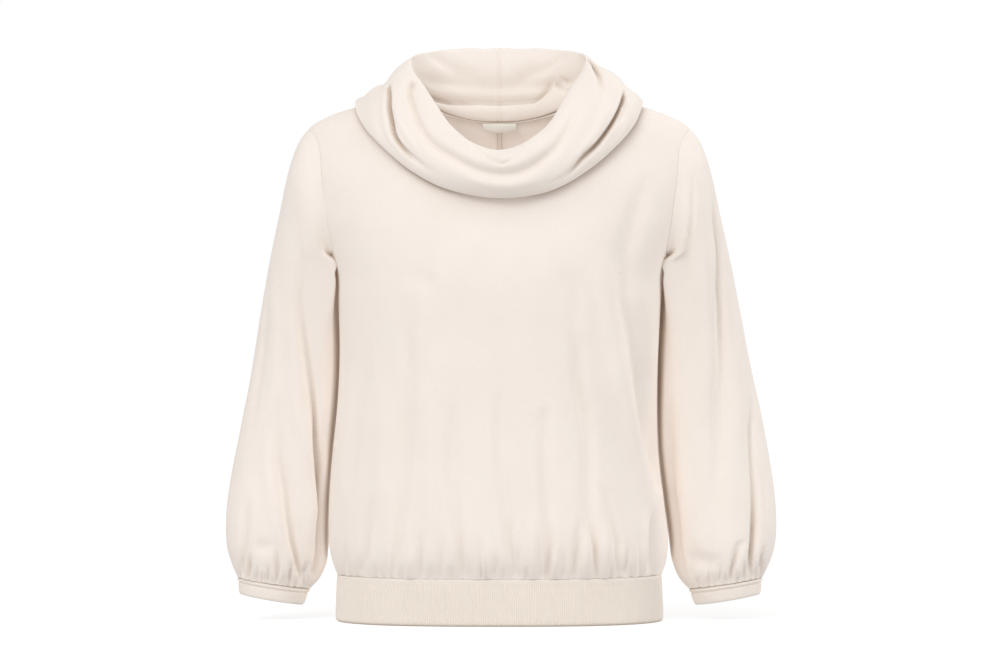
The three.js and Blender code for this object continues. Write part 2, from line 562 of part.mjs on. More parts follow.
// The neckline seam, from the middle of the front towards +X and round.
function neckLoop() {
  const seam = [];
  for (const [face, side, up] of [[-1, 1, false], [1, 1, true], [1, -1, false], [-1, -1, true]])
    for (let k = 0; k < N.neck; k++) {
      const q = up ? k / N.neck : 1 - k / N.neck; // 1 is the middle, 0 the shoulder
      const [w, z] = neckSeam(q, side, face);
      seam.push(bodyPoint(w / halfWidth(z, w), z, face));
    }
  return seam;
}
// First point of the collar at a point of the seam: the cloth leaves the panel along its own plane, with
// its inner face level with the panel's inner face.
function collarStart(s, seam, i) {
  const m = seam.length, n = outOfBody(s);
  const along = seam[(i + 1) % m].clone().sub(seam[(i + m - 1) % m]);
  const off = along.cross(n).normalize();
  if (off.dot(new THREE.Vector3(s.x, s.y - COLLAR_AXIS_Y, -60)) > 0) off.negate();
  return s.clone().addScaledVector(off, SEAM * 2).addScaledVector(n, -KNIT);
}
function collarRows() {
  const seam = neckLoop();
  // Rows of points: up the inside, then down the fallen layer with a row along each crease.
  const inside = [0, 0.14, 0.31, 0.55, 0.8, 1];
  const outside = (turn) => {
    const tuck = read(COLLAR_SECTIONS, "turn", "tuck", turn);
    const crease = read(COLLAR_SECTIONS, "turn", "crease", turn);
    return [tuck * 0.45, tuck, (tuck + crease) / 2, crease, (crease + 1) / 2, 0.94, 1];
  };
  const count = inside.length + 7;
  return Array.from({ length: count }, (_, j) =>
    seam.map((s, i) => {
      const turn = THREE.MathUtils.radToDeg(Math.atan2(s.x, -(s.y - COLLAR_AXIS_Y))), a = rad(turn);
      const start = collarStart(s, seam, i);
      const seamR = Math.hypot(start.x, start.y - COLLAR_AXIS_Y);
      const [r, z] = j < inside.length
        ? standing(turn, inside[j], seamR, start.z)
        : fallen(turn, outside(turn)[j - inside.length]);
      const p = new THREE.Vector3(r * Math.sin(a), COLLAR_AXIS_Y - r * Math.cos(a), z);
      if (j === 0) p.copy(start);
      else if (j >= inside.length) clearOfBody(p, COLLAR + CLEAR + 1.5);
      else if (j < inside.length - 1 && Math.abs(turn) < 110) clearOfBody(p, COLLAR + SEAM + 0.8);
      return p;
    }),
  );
}

// ------------------------------------------------------------------ label
function labelGeometry() {
  const rows = [], back = depth(NECK.backZ, 1);
  for (let j = 0; j <= 3; j++) {
    const t = j / 3, row = [];
    for (let i = 0; i <= 8; i++) {
      const a = lerp(-1, 1, i / 8);
      const x = (a * LABEL.width) / 2;
      row.push(
        new THREE.Vector3(
          x,
          back - KNIT - 2.6 - 3.2 * Math.sin(t * Math.PI * 0.62) + 0.0016 * x * x * -0.4,
          NECK.backZ - 3.2 - LABEL.height * t - LABEL.sag * (1 - a * a) * t,
        ),
      );
    }
    rows.push(row);
  }
  return wall(rows, LABEL.thick);
}

// ------------------------------------------------------------------ the object
const material = (hex, roughness) =>
  new THREE.MeshStandardMaterial({ color: hex, roughness, metalness: 0 });
const knit = material(0xf0e7dc, 0.9), rib = material(0xebe0d2, 0.92), woven = material(0xf2efe6, 0.6);

const sweater = new THREE.Group();
function add(name, geometry, mat) {
  const mesh = new THREE.Mesh(geometry, mat);
  mesh.name = name;
  sweater.add(mesh);
  return mesh;
}
add("front", panelGeometry(-1, -1, 1, FRONT_FOLDS), knit);
add("back_left", panelGeometry(1, 0, 1, BACK_FOLDS), knit);
add("back_right", panelGeometry(1, -1, 0, BACK_FOLDS), knit);
for (const [name, side] of [["sleeve_left", 1], ["sleeve_right", -1]]) {
  const seam = armholeLoop(side);
  const middle = new THREE.Vector3(0, 0, (UNDERARM_Z + SHOULDER_Z) / 2);
  const outward = (j, k) => {
    if (j > 0) return null;
    const radial = seam[k].clone().sub(middle);
    radial.x = 0;
    return outOfBody(seam[k]).add(radial.normalize()).normalize();
  };
  add(name, wall(sleeveRows(side), KNIT, { loop: true, flip: side > 0, outward }), knit);
}
add("cuff_left", wall(cuffRows(1), RIB, { loop: true, flip: true }), rib);
add("cuff_right", wall(cuffRows(-1), RIB, { loop: true }), rib);
add("hem_rib_front", ribGeometry(-1), rib);
add("hem_rib_back", ribGeometry(1), rib);
const neck = neckLoop();
const intoNeck = (j, i) => (j === 0 ? outOfBody(neck[i]).negate() : null);
add("collar", wall(collarRows(), COLLAR, { loop: true, flip: true, outward: intoNeck }), knit);
add("label", labelGeometry(), woven);

export default sweater;
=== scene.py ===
# Looks of a fine-knit pullover with a big cowl collar, sleeves gathered into narrow cuffs and a ribbed
# hem. Each piece of cloth is a thin closed shell on the form of its solid, with its folds, gathers and
# seams as geometry and its stitches as bump. Sizes are in millimetres until a mesh is made.
import math

import bpy
import numpy as np
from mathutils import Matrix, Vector


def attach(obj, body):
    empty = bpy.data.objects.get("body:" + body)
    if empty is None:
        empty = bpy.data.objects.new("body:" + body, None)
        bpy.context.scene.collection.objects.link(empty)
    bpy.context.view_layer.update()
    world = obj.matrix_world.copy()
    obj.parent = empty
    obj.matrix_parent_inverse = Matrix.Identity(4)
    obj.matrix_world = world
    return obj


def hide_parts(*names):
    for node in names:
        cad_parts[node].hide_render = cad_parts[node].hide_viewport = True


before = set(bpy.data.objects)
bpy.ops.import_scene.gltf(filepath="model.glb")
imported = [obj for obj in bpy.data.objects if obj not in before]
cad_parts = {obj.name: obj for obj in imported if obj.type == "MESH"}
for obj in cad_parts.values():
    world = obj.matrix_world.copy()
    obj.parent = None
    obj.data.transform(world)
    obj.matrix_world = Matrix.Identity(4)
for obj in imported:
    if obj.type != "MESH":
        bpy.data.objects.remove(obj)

# ------------------------------------------------------------------ sizes
CLOTH = 1.3  # one layer of the fine knit
RIB = 2.0
CUFF_CLOTH = 2.0
DOUBLED = 2.2  # the collar's two layers
SEAM = 0.1
CLEAR = 2.4
HEM_Z, HEM_SEAM_Z, UNDERARM_Z, SHOULDER_Z = -571.0, -522.0, -200.0, -42.0
NECK_HALF, NECK_FRONT_Z, NECK_BACK_Z = 96.0, -92.0, -30.0
ARM_FRONT, ARM_BACK, ARM_EGG = 50.0, 56.0, 0.16
COLLAR_Y = -18.0
RIB_PITCH = 2.3  # one rib and its furrow
WALE, COURSE = 1.5, 1.15  # one stitch of the fine knit

EYE, EYE_X, EYE_Z, STEP = 4200.0, 4.86, -265.7, 1.08  # the camera, and the width of one picture point

# Columns of faces: side seam, armhole, shoulder, quarter of the neckline.
N_SIDE, N_ARM, N_SHOULDER, N_NECK = 81, 81, 36, 81


def table(names, rows):
    return {name: np.array([r[i] for r in rows], float) for i, name in enumerate(names.split())}


# Body: horizontal sections, as half widths to -X and +X, depths to the front and back, and the squareness.
BODY = table("z left right front back power", [
    (-522, 175.5, 175.0, 107, 95, 2.5),
    (-506, 181.0, 180.0, 116, 101, 2.45),
    (-486, 184.0, 182.0, 120, 104, 2.4),
    (-440, 183.5, 177.0, 119.5, 102, 2.4),
    (-390, 180.0, 171.5, 118, 98, 2.4),
    (-335, 174.5, 170.5, 118, 95, 2.4),
    (-280, 172.5, 171.5, 119, 96, 2.4),
    (-227, 174.5, 174.5, 120.5, 99, 2.4),
    (-200, 177.0, 177.0, 120, 101, 2.35),
    (-170, 188.0, 188.0, 116, 102, 2.3),
    (-140, 202.0, 202.0, 109, 100, 2.2),
    (-100, 212.0, 212.0, 97, 91, 2.1),
    (-70, 212.0, 212.0, 84, 80, 1.95),
    (-42, 206.0, 206.0, 65, 61, 1.75),
    (-28, 183.0, 183.0, 55, 54, 1.7),
    (-20, 160.0, 160.0, 49, 49, 1.7),
    (-10, 130.0, 130.0, 39, 40, 1.7),
    (0, 96.0, 96.0, 24, 25, 1.7),
])
# Sleeve: sections from the armhole to the cuff seam.
SLEEVE = table("run inX inZ outX outZ y front back slim", [
    (0.0, 178, -203, 208, -43, 2, 52, 54, 0),
    (0.06, 177, -207, 219, -60, 3, 54, 57, 0),
    (0.14, 176, -213, 229.5, -92, 7, 55, 58, 0),
    (0.23, 174, -222, 239.5, -138, 12, 54, 58, 0.5),
    (0.33, 171, -238, 251, -188, 17, 53, 56, 1.5),
    (0.43, 167, -266, 261.5, -240, 22, 52, 54, 2.5),
    (0.54, 164, -312, 272.5, -296, 26, 52, 52, 4.5),
    (0.65, 164, -368, 285, -352, 27, 53, 52, 6),
    (0.76, 170, -424, 295, -408, 25, 54, 52, 5),
    (0.86, 180, -472, 300.5, -456, 21, 54, 52, 4),
    (0.93, 186, -506, 299, -491, 17, 50, 49, 3),
    (0.975, 194, -527, 292, -513, 14, 43, 42, 2),
    (1.0, 204, -538.5, 285, -526.5, 12, 35, 35, 1),
])
CUFF = table("run inX inZ outX outZ y front back slim", [
    (0, 206.0, -539.2, 283.5, -527.2, 12, 33, 33, 1),
    (1, 211.5, -556.5, 283.0, -544.5, 12, 31, 31, 1),
])
# Collar: sections round the neck, by the angle from the front.
COLLAR = table("turn rimR rimZ edgeR edgeZ swell wall tuck tuckDeep crease creaseDeep", [
    (-180, 96, 52, 101, -60, 13, 3, 0.3, 0, 0.66, 2),
    (-150, 97, 50, 111, -58, 11, 2, 0.3, 1, 0.66, 3),
    (-120, 94, 43, 128, -46, 5, 1, 0.28, 1, 0.6, 5),
    (-94, 96, 33, 155, -16, 2, 0, 0.22, 0, 0.46, 9),
    (-80, 93, 18, 151, -37, 9, -1, 0.2, 0, 0.52, 9),
    (-68, 87, 3, 141, -60, 16, -1, 0.3, 1, 0.6, 8),
    (-51, 85, -22, 118, -93, 20, -1, 0.34, 6, 0.74, 6),
    (-30, 90, -50, 103, -113, 19, 0, 0.42, 7, 0.84, 2),
    (0, 95, -70, 97, -121, 18, 0, 0.56, 6, 0.86, 0),
    (30, 90, -48, 104, -114, 19, 0, 0.42, 6, 0.72, 4),
    (51, 84, -19, 118, -93, 22, -1, 0.3, 5, 0.72, 8),
    (68, 85, 5, 138, -61, 21, -1, 0.3, 2, 0.72, 8),
    (80, 90, 20, 149, -36, 16, -1, 0.26, 4, 0.66, 8),
    (94, 93, 34, 154, -15, 6, 0, 0.24, 4, 0.68, 6),
    (120, 95, 44, 128, -46, 6, 1, 0.28, 2, 0.66, 4),
    (150, 97, 50, 111, -58, 11, 2, 0.3, 1, 0.66, 3),
    (180, 96, 52, 101, -60, 13, 3, 0.3, 0, 0.66, 2),
])
# Soft rolls low inside the back of the collar: place between seam (0) and rim (1), width, and reach.
INSIDE_ROLLS = [(0.15, 0.12, 8), (0.39, 0.06, -6), (0.6, 0.18, 3)]

# Creases, as seen from the front: x and z of a point, half the crease's width there, and how far the cloth
# stands out (+) or sinks (-).
# >>> creases
# Front of the body.
FRONT_CREASES = [
    [(-97.7, -246.2, 5.4, 0), (-97.7, -291.6, 6.5, -1.6), (-101, -356.4, 7.6, -2.4), (-104.2, -410.4, 7.6, -2.6),
     (-109.6, -453.6, 6.5, -2.6), (-112.9, -486, 5.4, -2.8), (-115, -507.6, 4.3, -2.4), (-116.1, -526, 3.2, -1.8)],
    [(-75.1, -313.2, 9.7, 0), (-77.2, -367.2, 9.7, 1), (-77.2, -432, 8.6, 0.8), (-75.1, -475.2, 6.5, 0)],
    [(-123.7, -324, 9.7, 0), (-125.8, -367.2, 9.7, 1), (-131.2, -410.4, 8.6, 0.8), (-129.1, -453.6, 6.5, 0)],
    [(-51.3, -329.4, 5.4, 0), (-51.3, -356.4, 6.5, -1.3), (-52.4, -421.2, 6.5, -2), (-47, -459, 5.4, -2.2),
     (-43.7, -486, 4.3, -2.6), (-41.6, -507.6, 3.8, -2.8), (-39.4, -526, 3.2, -2)],
    [(0.5, -291.6, 6.5, 0), (0.5, -356.4, 6.5, -1.1), (0.5, -399.6, 6.5, -1.3), (7, -442.8, 6.5, -1.8),
     (9.2, -464.4, 5.4, -2.2), (11.3, -491.4, 4.3, -2.4), (15.7, -513, 3.2, -2.6), (15.7, -526, 2.7, -2)],
    [(49.1, -351, 6.5, -0.8), (49.1, -399.6, 6.5, -1.3), (51.3, -437.4, 6.5, -1.6), (52.4, -464.4, 5.4, -2.2),
     (54.5, -491.4, 4.3, -2.8), (53.5, -507.6, 3.2, -3.2), (52.4, -526, 2.7, -2.4)],
    [(78.3, -253.8, 7.6, 0), (83.7, -280.8, 7.6, -1.4), (86.9, -318.6, 5.9, -2.6), (92.3, -345.6, 5.9, -2.8),
     (96.7, -378, 6.5, -2.4), (96.7, -421.2, 7.6, -2.6), (97.7, -459, 6.5, -2.3), (102.1, -480.6, 4.3, -2.8),
     (104.2, -496.8, 3.2, -3.2), (105.3, -526, 2.7, -2.4)],
    [(108.5, -421.2, 5.4, 0), (117.2, -442.8, 4.9, -1.3), (124.7, -469.8, 4.3, -2.2), (129.1, -491.4, 4.3, -2.6),
     (128, -503.3, 3.8, -2.6), (130.1, -526, 2.7, -2.5)],
    [(162.5, -88.6, 6.5, 0), (155, -108, 8.6, -1.2), (145.3, -140.4, 10.8, -2), (137.7, -178.2, 11.9, -3.4),
     (138.8, -226.8, 10.8, -4.4), (148.5, -270, 9.7, -5.8), (157.1, -313.2, 8.6, -8.5), (162.5, -356.4, 7.6, -9),
     (167.9, -394.2, 6.5, -7), (172.3, -426.6, 4.3, -3)],
    [(108.5, -172.8, 10.8, 0), (112.9, -199.8, 10.8, 1.2), (120.4, -248.4, 9.7, 2), (130.1, -307.8, 8.6, 3.2),
     (142, -361.8, 7.6, 3.2), (152.8, -405, 6.5, 2.2), (162.5, -448.2, 6.5, 1), (164.7, -475.2, 5.4, 0)],
    [(-91.3, -203, 10.8, -0.6), (-77.2, -208.4, 10.8, -0.8), (-64.3, -209.5, 8.6, 0)],
    [(-144.2, -270, 6.5, 0), (-148.5, -307.8, 7.6, -1), (-153.9, -334.8, 7.6, -1.2), (-159.3, -367.2, 7.6, -1.2),
     (-161.5, -410.4, 7.6, -0.8), (-159.3, -442.8, 6.5, 0)],
    [(59.9, -194.4, 10.8, 0), (81.5, -216, 10.8, -1), (83.7, -248.4, 8.6, -0.8)],
    [(-137.7, -437.4, 5.4, 0), (-144.2, -464.4, 5.4, -1.4), (-146.3, -486, 4.3, -2.2),
     (-147.4, -507.6, 3.8, -2.4), (-150.7, -526, 3.2, -1.6)],
    [(164.7, -448.2, 4.3, 0), (166.9, -469.8, 4.3, -3.5), (167.9, -491.4, 4.3, -5.5), (166.9, -509.8, 3.8, -5),
     (163.6, -526, 3.2, -3.5)],
    [(-84.8, -475.2, 3.2, 0), (-85.9, -496.8, 3.2, -1.4), (-85.9, -513, 2.7, -1.7), (-84.8, -526, 2.2, -1.3)],
    [(-96.7, -491.4, 4.3, 0), (-96.7, -507.6, 4.3, 1), (-97.7, -526, 3.2, 0.6)],
    [(-64.3, -480.6, 4.3, 0), (-63.2, -502.2, 3.8, -1.5), (-64.3, -526, 2.7, -1.5)],
    [(-23.2, -475.2, 5.4, 0), (-21.1, -507.6, 3.2, -1), (-18.9, -526, 2.2, -1.4)],
    [(-15.7, -503.3, 2.2, 0.6), (-15.7, -526, 1.7, 1)],
    [(-31.9, -494.6, 4.3, 0), (-31.9, -526, 2.7, -1)],
    [(-5.9, -496.8, 3.2, 0), (-3.8, -513, 2.7, -1.3), (-5.9, -526, 2.2, -1.3)],
    [(22.1, -491.4, 3.2, 0), (21.1, -507.6, 2.7, -1.3), (21.1, -526, 2.2, -1.4)],
    [(36.2, -448.2, 5.4, 0), (36.2, -486, 4.9, 1.2), (36.2, -526, 3.8, 0.6)],
    [(43.7, -475.2, 3.2, 0), (44.8, -502.2, 3.2, -1.2), (44.8, -526, 2.2, -1.3)],
    [(59.9, -491.4, 2.7, 0), (59.9, -507.6, 2.7, 1.2), (58.9, -526, 2.2, 0.8)],
    [(68.6, -491.4, 3.2, 0), (69.7, -507.6, 3.2, -1.2), (68.6, -526, 2.2, -1.4)],
    [(88, -459, 3.8, 0), (85.9, -486, 3.8, -1.8), (82.6, -507.6, 3.2, -2.6), (80.5, -526, 2.7, -2.2)],
    [(95.6, -480.6, 4.3, 0), (94.5, -502.2, 4.3, 1.4), (93.4, -526, 3.2, 0.6)],
    [(115, -464.4, 4.9, 0), (115, -494.6, 4.9, 1.5), (115, -526, 3.2, 0.5)],
    [(121.5, -507.6, 2.7, 0), (120.4, -526, 2.2, -1.4)],
    [(139.9, -491.4, 2.7, 0), (138.8, -507.6, 2.4, -1.8), (136.6, -522.7, 2.2, -2.2)],
    [(151.7, -480.6, 4.3, -0.6), (153.9, -502.2, 3.8, -1.4), (152.8, -526, 2.7, -1.8)],
    [(158.2, -442.8, 5.4, 0), (159.3, -475.2, 4.3, 1), (158.2, -507.6, 3.2, 0.6)],
    [(144.2, -507.6, 2.2, 0), (143.1, -526, 1.9, -1.6)],
    [(-162.5, -507.6, 3.2, 0), (-161.5, -526, 2.4, -1.4)],
    [(-153.9, -502.2, 3.2, 0), (-153.9, -526, 2.4, -1.4)],
    [(-167.9, -486, 3.2, 0), (-167.9, -507.6, 3.2, -1.2), (-169, -526, 2.2, -1.2)],
    [(-133.4, -507.6, 2.7, 0), (-133.4, -526, 2.2, -1.2)],
    [(-124.7, -496.8, 3.2, 0), (-124.7, -526, 2.4, -1)],
    [(-106.4, -509.8, 2.7, 0), (-105.3, -526, 2.2, -1.2)],
    [(-75.1, -509.8, 2.7, 0), (-74, -526, 2.2, -1.1)],
    [(-53.5, -513, 2.7, 0), (-52.4, -526, 2.2, -1.2)],
    [(4.9, -509.8, 2.7, 0), (4.9, -526, 2.2, -1.2)],
    [(29.7, -510.8, 2.7, 0), (29.7, -526, 2.2, -1.1)],
]
# Outside of the collar.
COLLAR_CREASES = [
    [(-93.4, 10.8, 4.3, -7), (-96.7, 0, 5.4, -7), (-93.4, -19.4, 6.5, -6.5), (-86.9, -36.7, 7, -6),
     (-76.1, -52.9, 7.6, -6), (-53.5, -69.7, 8.1, -6), (-30.8, -82.1, 8.6, -6), (-7, -90.7, 9.2, -6.5),
     (15.7, -90.7, 9.2, -6.5), (35.1, -82.6, 8.6, -6.5), (55.6, -65.3, 8.1, -6), (68.6, -48.6, 7.6, -5),
     (79.4, -29.2, 7, -4), (84.8, -10.8, 6.5, -2.5), (90.2, 6.5, 5.4, 0)],
    [(-31.9, -52.9, 2.7, 0), (-20, -65.3, 3.2, -2.2), (-9.2, -72.4, 3.5, -3), (1.6, -77.8, 3.5, -3.2),
     (10.3, -74.5, 3.2, -2.2), (17.8, -67, 3.2, 0)],
    [(-120.4, 6.5, 2.6, -9), (-121, -5.4, 2.3, -11.5), (-120.4, -19.4, 2.2, -12), (-118.3, -32.4, 2.2, -11),
     (-113.9, -46.4, 2.5, -9.5), (-106.4, -60.5, 3.2, -7), (-96.7, -72.4, 4.3, -4), (-81.5, -84.2, 5.4, -1.5),
     (-64.3, -92.9, 5.4, 0)],
    [(136.6, -3.2, 2.5, -9), (132.3, -15.1, 2.3, -12), (125.8, -29.2, 2.4, -12), (116.1, -45.4, 2.8, -11),
     (105.3, -59.4, 3.5, -10), (93.4, -71.8, 4.3, -8), (77.2, -90.7, 5.4, -4), (65.3, -100.4, 5.4, 0)],
    [(99.9, 34.6, 3.2, -8), (104.2, 25.9, 3.5, -8), (108, 15.1, 3.9, -6), (110.7, 0, 4.9, -3.5),
     (109.6, -17.3, 5.9, -2.2), (102.1, -37.8, 6.5, -1.2), (91.3, -54, 6.5, 0)],
    [(137.7, -9.7, 2.7, -4), (135, -17.3, 2.7, -4), (131.8, -29.2, 3, -2.5), (125.8, -41, 3.2, 0)],
    [(108.5, -8.6, 6.5, 0), (115, -23.8, 6.5, 1.6), (105.3, -43.2, 6.5, 1.6), (90.2, -61.6, 6.5, 1.2),
     (76.1, -75.6, 6.5, 0)],
    [(-48.1, -88.6, 7.6, 0), (-21.1, -101.5, 7.6, 1.4), (11.3, -104.8, 7.6, 1.4), (43.7, -98.3, 7.6, 1),
     (65.3, -86.4, 7.6, 0)],
    [(56.7, -101.5, 1.7, -0.8), (62.1, -98.3, 1.7, -1.6), (66.4, -94, 1.7, -0.6)],
    [(-133.4, -19.4, 6.5, 0), (-129.1, -41, 6.5, -0.9), (-118.3, -60.5, 6.5, 0)],
    [(-111.8, -2.2, 4.3, 0), (-110.7, -19.4, 4.9, 2.2), (-106.4, -38.9, 4.9, 2.2), (-95.6, -58.3, 4.9, 1.4),
     (-81.5, -71.3, 4.9, 0)],
    [(-126.9, -2.2, 3.2, 0), (-126.4, -17.3, 3.7, 1.4), (-124.7, -33.5, 3.7, 1.4), (-120.4, -49.7, 3.9, 1.2),
     (-110.7, -67, 4.1, 0.6), (-103.1, -75.6, 4.1, 0)],
    [(-75.1, -2.2, 6.5, 0), (-63.2, -23.8, 7.6, 1), (-47, -43.2, 7.6, 1), (-27.5, -60.5, 5.4, 0)],
    [(145.3, -19.4, 4.3, 0), (140.9, -34.6, 4.3, 0.8), (130.1, -54, 4.3, 0.8), (112.9, -72.4, 4.3, 0)],
]
# Inside of the collar's back.
INSIDE_CREASES = [
    [(-75.1, 36.7, 6.5, -1.4), (-64.3, 32.4, 7, -3.2), (-44.8, 20.5, 7.6, -3), (-27.5, 14, 7.6, -1)],
    [(-57.8, 38.9, 8.6, 0), (-47, 34.6, 8.6, 1.4), (-31.9, 28.1, 8.6, 1), (-15.7, 23.8, 8.6, 0)],
    [(68.6, 36.7, 5.4, -2), (62.1, 32.4, 5.4, -3.8), (53.5, 25.9, 5.9, -4.2), (38.3, 18.4, 6.5, -4),
     (22.1, 9.7, 6.5, -1.5)],
    [(49.1, 43.2, 7.6, 0), (37.3, 36.7, 7.6, 1.8), (22.1, 28.1, 7.6, 1.4), (9.2, 21.6, 7.6, 0)],
    [(-79.4, 0, 5.4, -12), (-71.8, -6.5, 5, -13), (-59.9, -9.7, 3.9, -11), (-42.7, -11.9, 3.7, -10),
     (-20, -11.9, 3.5, -9), (0.5, -12.1, 3.3, -8.5), (22.1, -10.3, 3.3, -8.5), (38.3, -8.6, 3.5, -9),
     (47, -4.3, 3.5, -8), (52.4, 2.2, 3.5, -4), (56.7, 8.6, 3.7, 0)],
    [(61, 4.3, 2.4, -2.6), (67.5, 1.1, 2.4, -3.2), (75.1, 0, 2.6, -2)],
    [(66.4, 11.9, 2.2, -1.8), (72.9, 7.6, 2.2, -2.2), (79.4, 8.6, 2.2, -1)],
    [(71.8, 23.8, 4.3, 0), (68.6, 15.1, 4.3, 1.6), (61, 6.5, 4.3, 0)],
    [(-75.1, 6.5, 6.5, 0), (-57.8, 2.2, 7.6, 2.4), (-31.9, 0, 7.6, 1.8), (0.5, -1.1, 7.6, 1.4),
     (32.9, 2.2, 6.5, 1.2), (49.1, 10.8, 5.4, 0)],
    [(-64.3, -20.5, 7.6, 0), (-31.9, -22.7, 7.6, 1.5), (0.5, -22.7, 7.6, 1.5), (38.3, -20.5, 6.5, 1.5),
     (56.7, -10.8, 5.4, 0)],
]
# Wearer's left sleeve.
LEFT_SLEEVE_CREASES = [
    [(207.9, -86.4, 6.5, 0), (210.1, -118.8, 6.5, -1.3), (205.7, -162, 7.6, -1.6), (201.4, -205.2, 7.6, -1.4),
     (198.2, -248.4, 7.6, 0)],
    [(229.5, -103.7, 4.9, 0), (233.8, -140.4, 4.9, -2.6), (237.1, -172.8, 5.4, -4.2), (240.3, -216, 5.9, -4.4),
     (241.4, -259.2, 6.5, -4.2), (240.3, -302.4, 7, -3.2), (238.1, -345.6, 7, -2.6), (237.1, -388.8, 7, -2.2),
     (234.9, -432, 7, -1.2), (230.6, -475.2, 7.6, 0)],
    [(218.7, -140.4, 8.6, 0), (220.9, -183.6, 9.7, 1.6), (223, -248.4, 9.7, 1.8), (221.9, -313.2, 9.7, 1.2),
     (219.8, -367.2, 8.6, 0)],
    [(254.3, -226.8, 8.6, 0), (257.6, -280.8, 8.6, 1.2), (259.7, -356.4, 8.6, 1), (257.6, -410.4, 7.6, 0)],
    [(272.7, -329.4, 4.3, 0), (272.7, -367.2, 4.3, -2.4), (274.9, -410.4, 4.3, -3), (277, -442.8, 4.9, -4.6),
     (275.9, -475.2, 4.3, -7), (273.8, -502.2, 3.7, -8), (272.7, -526, 2.7, -5.5)],
    [(267.3, -486, 4.3, 0), (258.7, -493.6, 4.3, -1.6), (253.3, -507.6, 3.2, -3), (250, -530.3, 2.6, -3.4)],
    [(285.7, -491.4, 3.2, 0), (284.6, -509.8, 2.8, -3.4), (282.4, -527, 2.4, -3)],
    [(266.2, -507.6, 2.8, 0), (265.1, -518.4, 2.6, -2.2), (264.1, -531.4, 2.2, -2.8)],
    [(278.1, -507.6, 2.4, 0), (278.1, -527, 2.2, -2)],
    [(239.2, -507.6, 3.2, 0), (238.1, -523.8, 2.6, -2), (237.1, -533.5, 2.2, -2)],
    [(225.2, -513, 3.2, 0), (225.2, -527, 2.6, -2), (225.2, -536.8, 2.2, -2)],
    [(216.5, -523.8, 2.8, 0), (215.5, -537.8, 2.2, -1.8)],
    [(231.7, -518.4, 2.6, 0), (231.7, -534.6, 2.2, -1.6)],
    [(244.6, -516.2, 2.4, 0), (243.5, -532.4, 2.2, -1.8)],
    [(257.6, -518.4, 2.2, 0), (257.6, -531.4, 1.9, -1.8)],
    [(211.1, -507.6, 8.6, -1.2), (229.5, -509.8, 8.6, -1.6), (240.3, -505.4, 6.5, 0)],
    [(182, -334.8, 8.6, 0), (182, -388.8, 8.6, -3), (184.1, -442.8, 7.6, -4), (190.6, -491.4, 6.5, -3),
     (199.3, -520.6, 5.4, 0)],
    [(199.3, -378, 8.6, 0), (201.4, -432, 8.6, 1.6), (207.9, -475.2, 7.6, 1), (216.5, -499, 6.5, 0)],
]
# Wearer's right sleeve.
RIGHT_SLEEVE_CREASES = [
    [(-215.5, -156.6, 6.5, 0), (-214.4, -216, 6.5, -1.8), (-211.1, -259.2, 5.4, -3.4), (-206.8, -302.4, 5, -4.6),
     (-201.4, -340.2, 5, -6), (-196, -372.6, 5.4, -8), (-191.7, -410.4, 6.5, -9), (-189.5, -453.6, 6.5, -8),
     (-191.7, -491.4, 6.5, -6), (-198.2, -520.6, 5.4, -3)],
    [(-226.3, -226.8, 8.6, 0), (-221.9, -280.8, 8.6, 1.6), (-215.5, -345.6, 8.6, 2.2), (-206.8, -399.6, 7.6, 2.4),
     (-202.5, -453.6, 7.6, 2.2), (-204.7, -496.8, 6.5, 0)],
    [(-239.2, -329.4, 5.4, 0), (-240.3, -367.2, 5.4, -1.6), (-237.1, -399.6, 5.4, -2.6),
     (-231.7, -432, 5.4, -3.6), (-226.3, -464.4, 5, -4.2), (-220.9, -491.4, 4.5, -4.8), (-216.5, -513, 3.9, -5.4),
     (-214.4, -531.4, 2.8, -4)],
    [(-252.2, -367.2, 8.6, 0), (-250, -410.4, 8.6, 1.2), (-241.4, -464.4, 7.6, 1.2), (-234.9, -496.8, 6.5, 0)],
    [(-250, -226.8, 6.5, 0), (-256.5, -280.8, 6.5, -1), (-264.1, -334.8, 6.5, -0.8), (-269.5, -378, 6.5, 0)],
    [(-273.8, -429.8, 5.4, 0), (-274.9, -464.4, 5.4, -1.4), (-277, -494.6, 4.3, -2), (-278.1, -522.7, 2.8, -2.4)],
    [(-245.7, -185.8, 8.6, 0), (-241.4, -248.4, 8.6, 0.9), (-245.7, -313.2, 8.6, 0.6), (-250, -356.4, 8.6, 0)],
    [(-280.3, -505.4, 2.8, 0), (-280.3, -526, 2.2, -2)],
    [(-270.5, -499, 3.2, 0), (-271.6, -514.1, 2.8, -3), (-271.6, -528.1, 2.2, -3)],
    [(-261.9, -513, 2.6, 0), (-262.4, -530.3, 2.2, -2.2)],
    [(-255.4, -518.4, 2.2, 0), (-256.5, -531.4, 1.9, -1.6)],
    [(-250, -510.8, 2.6, 0), (-251.1, -532.4, 2.2, -2.4)],
    [(-239.2, -494.6, 3.7, 0), (-240.3, -514.1, 3.2, -2.6), (-241.4, -534.6, 2.4, -2.8)],
    [(-232.7, -518.4, 2.2, 0), (-233.8, -535.7, 1.9, -1.8)],
    [(-223, -507.6, 2.8, 0), (-226.3, -523.8, 2.6, -3), (-228.4, -536.8, 2.2, -2.8)],
    [(-206.8, -507.6, 3.2, 0), (-209, -523.8, 2.8, -3), (-212.2, -538.9, 2.2, -3)],
    [(-218.7, -518.4, 2.2, 0), (-220.9, -537.8, 1.9, -2.4)],
    [(-245.7, -491.4, 6.5, -0.4), (-256.5, -494.6, 7.6, -1.2), (-267.3, -492.5, 6.5, 0)],
]
# <<< creases

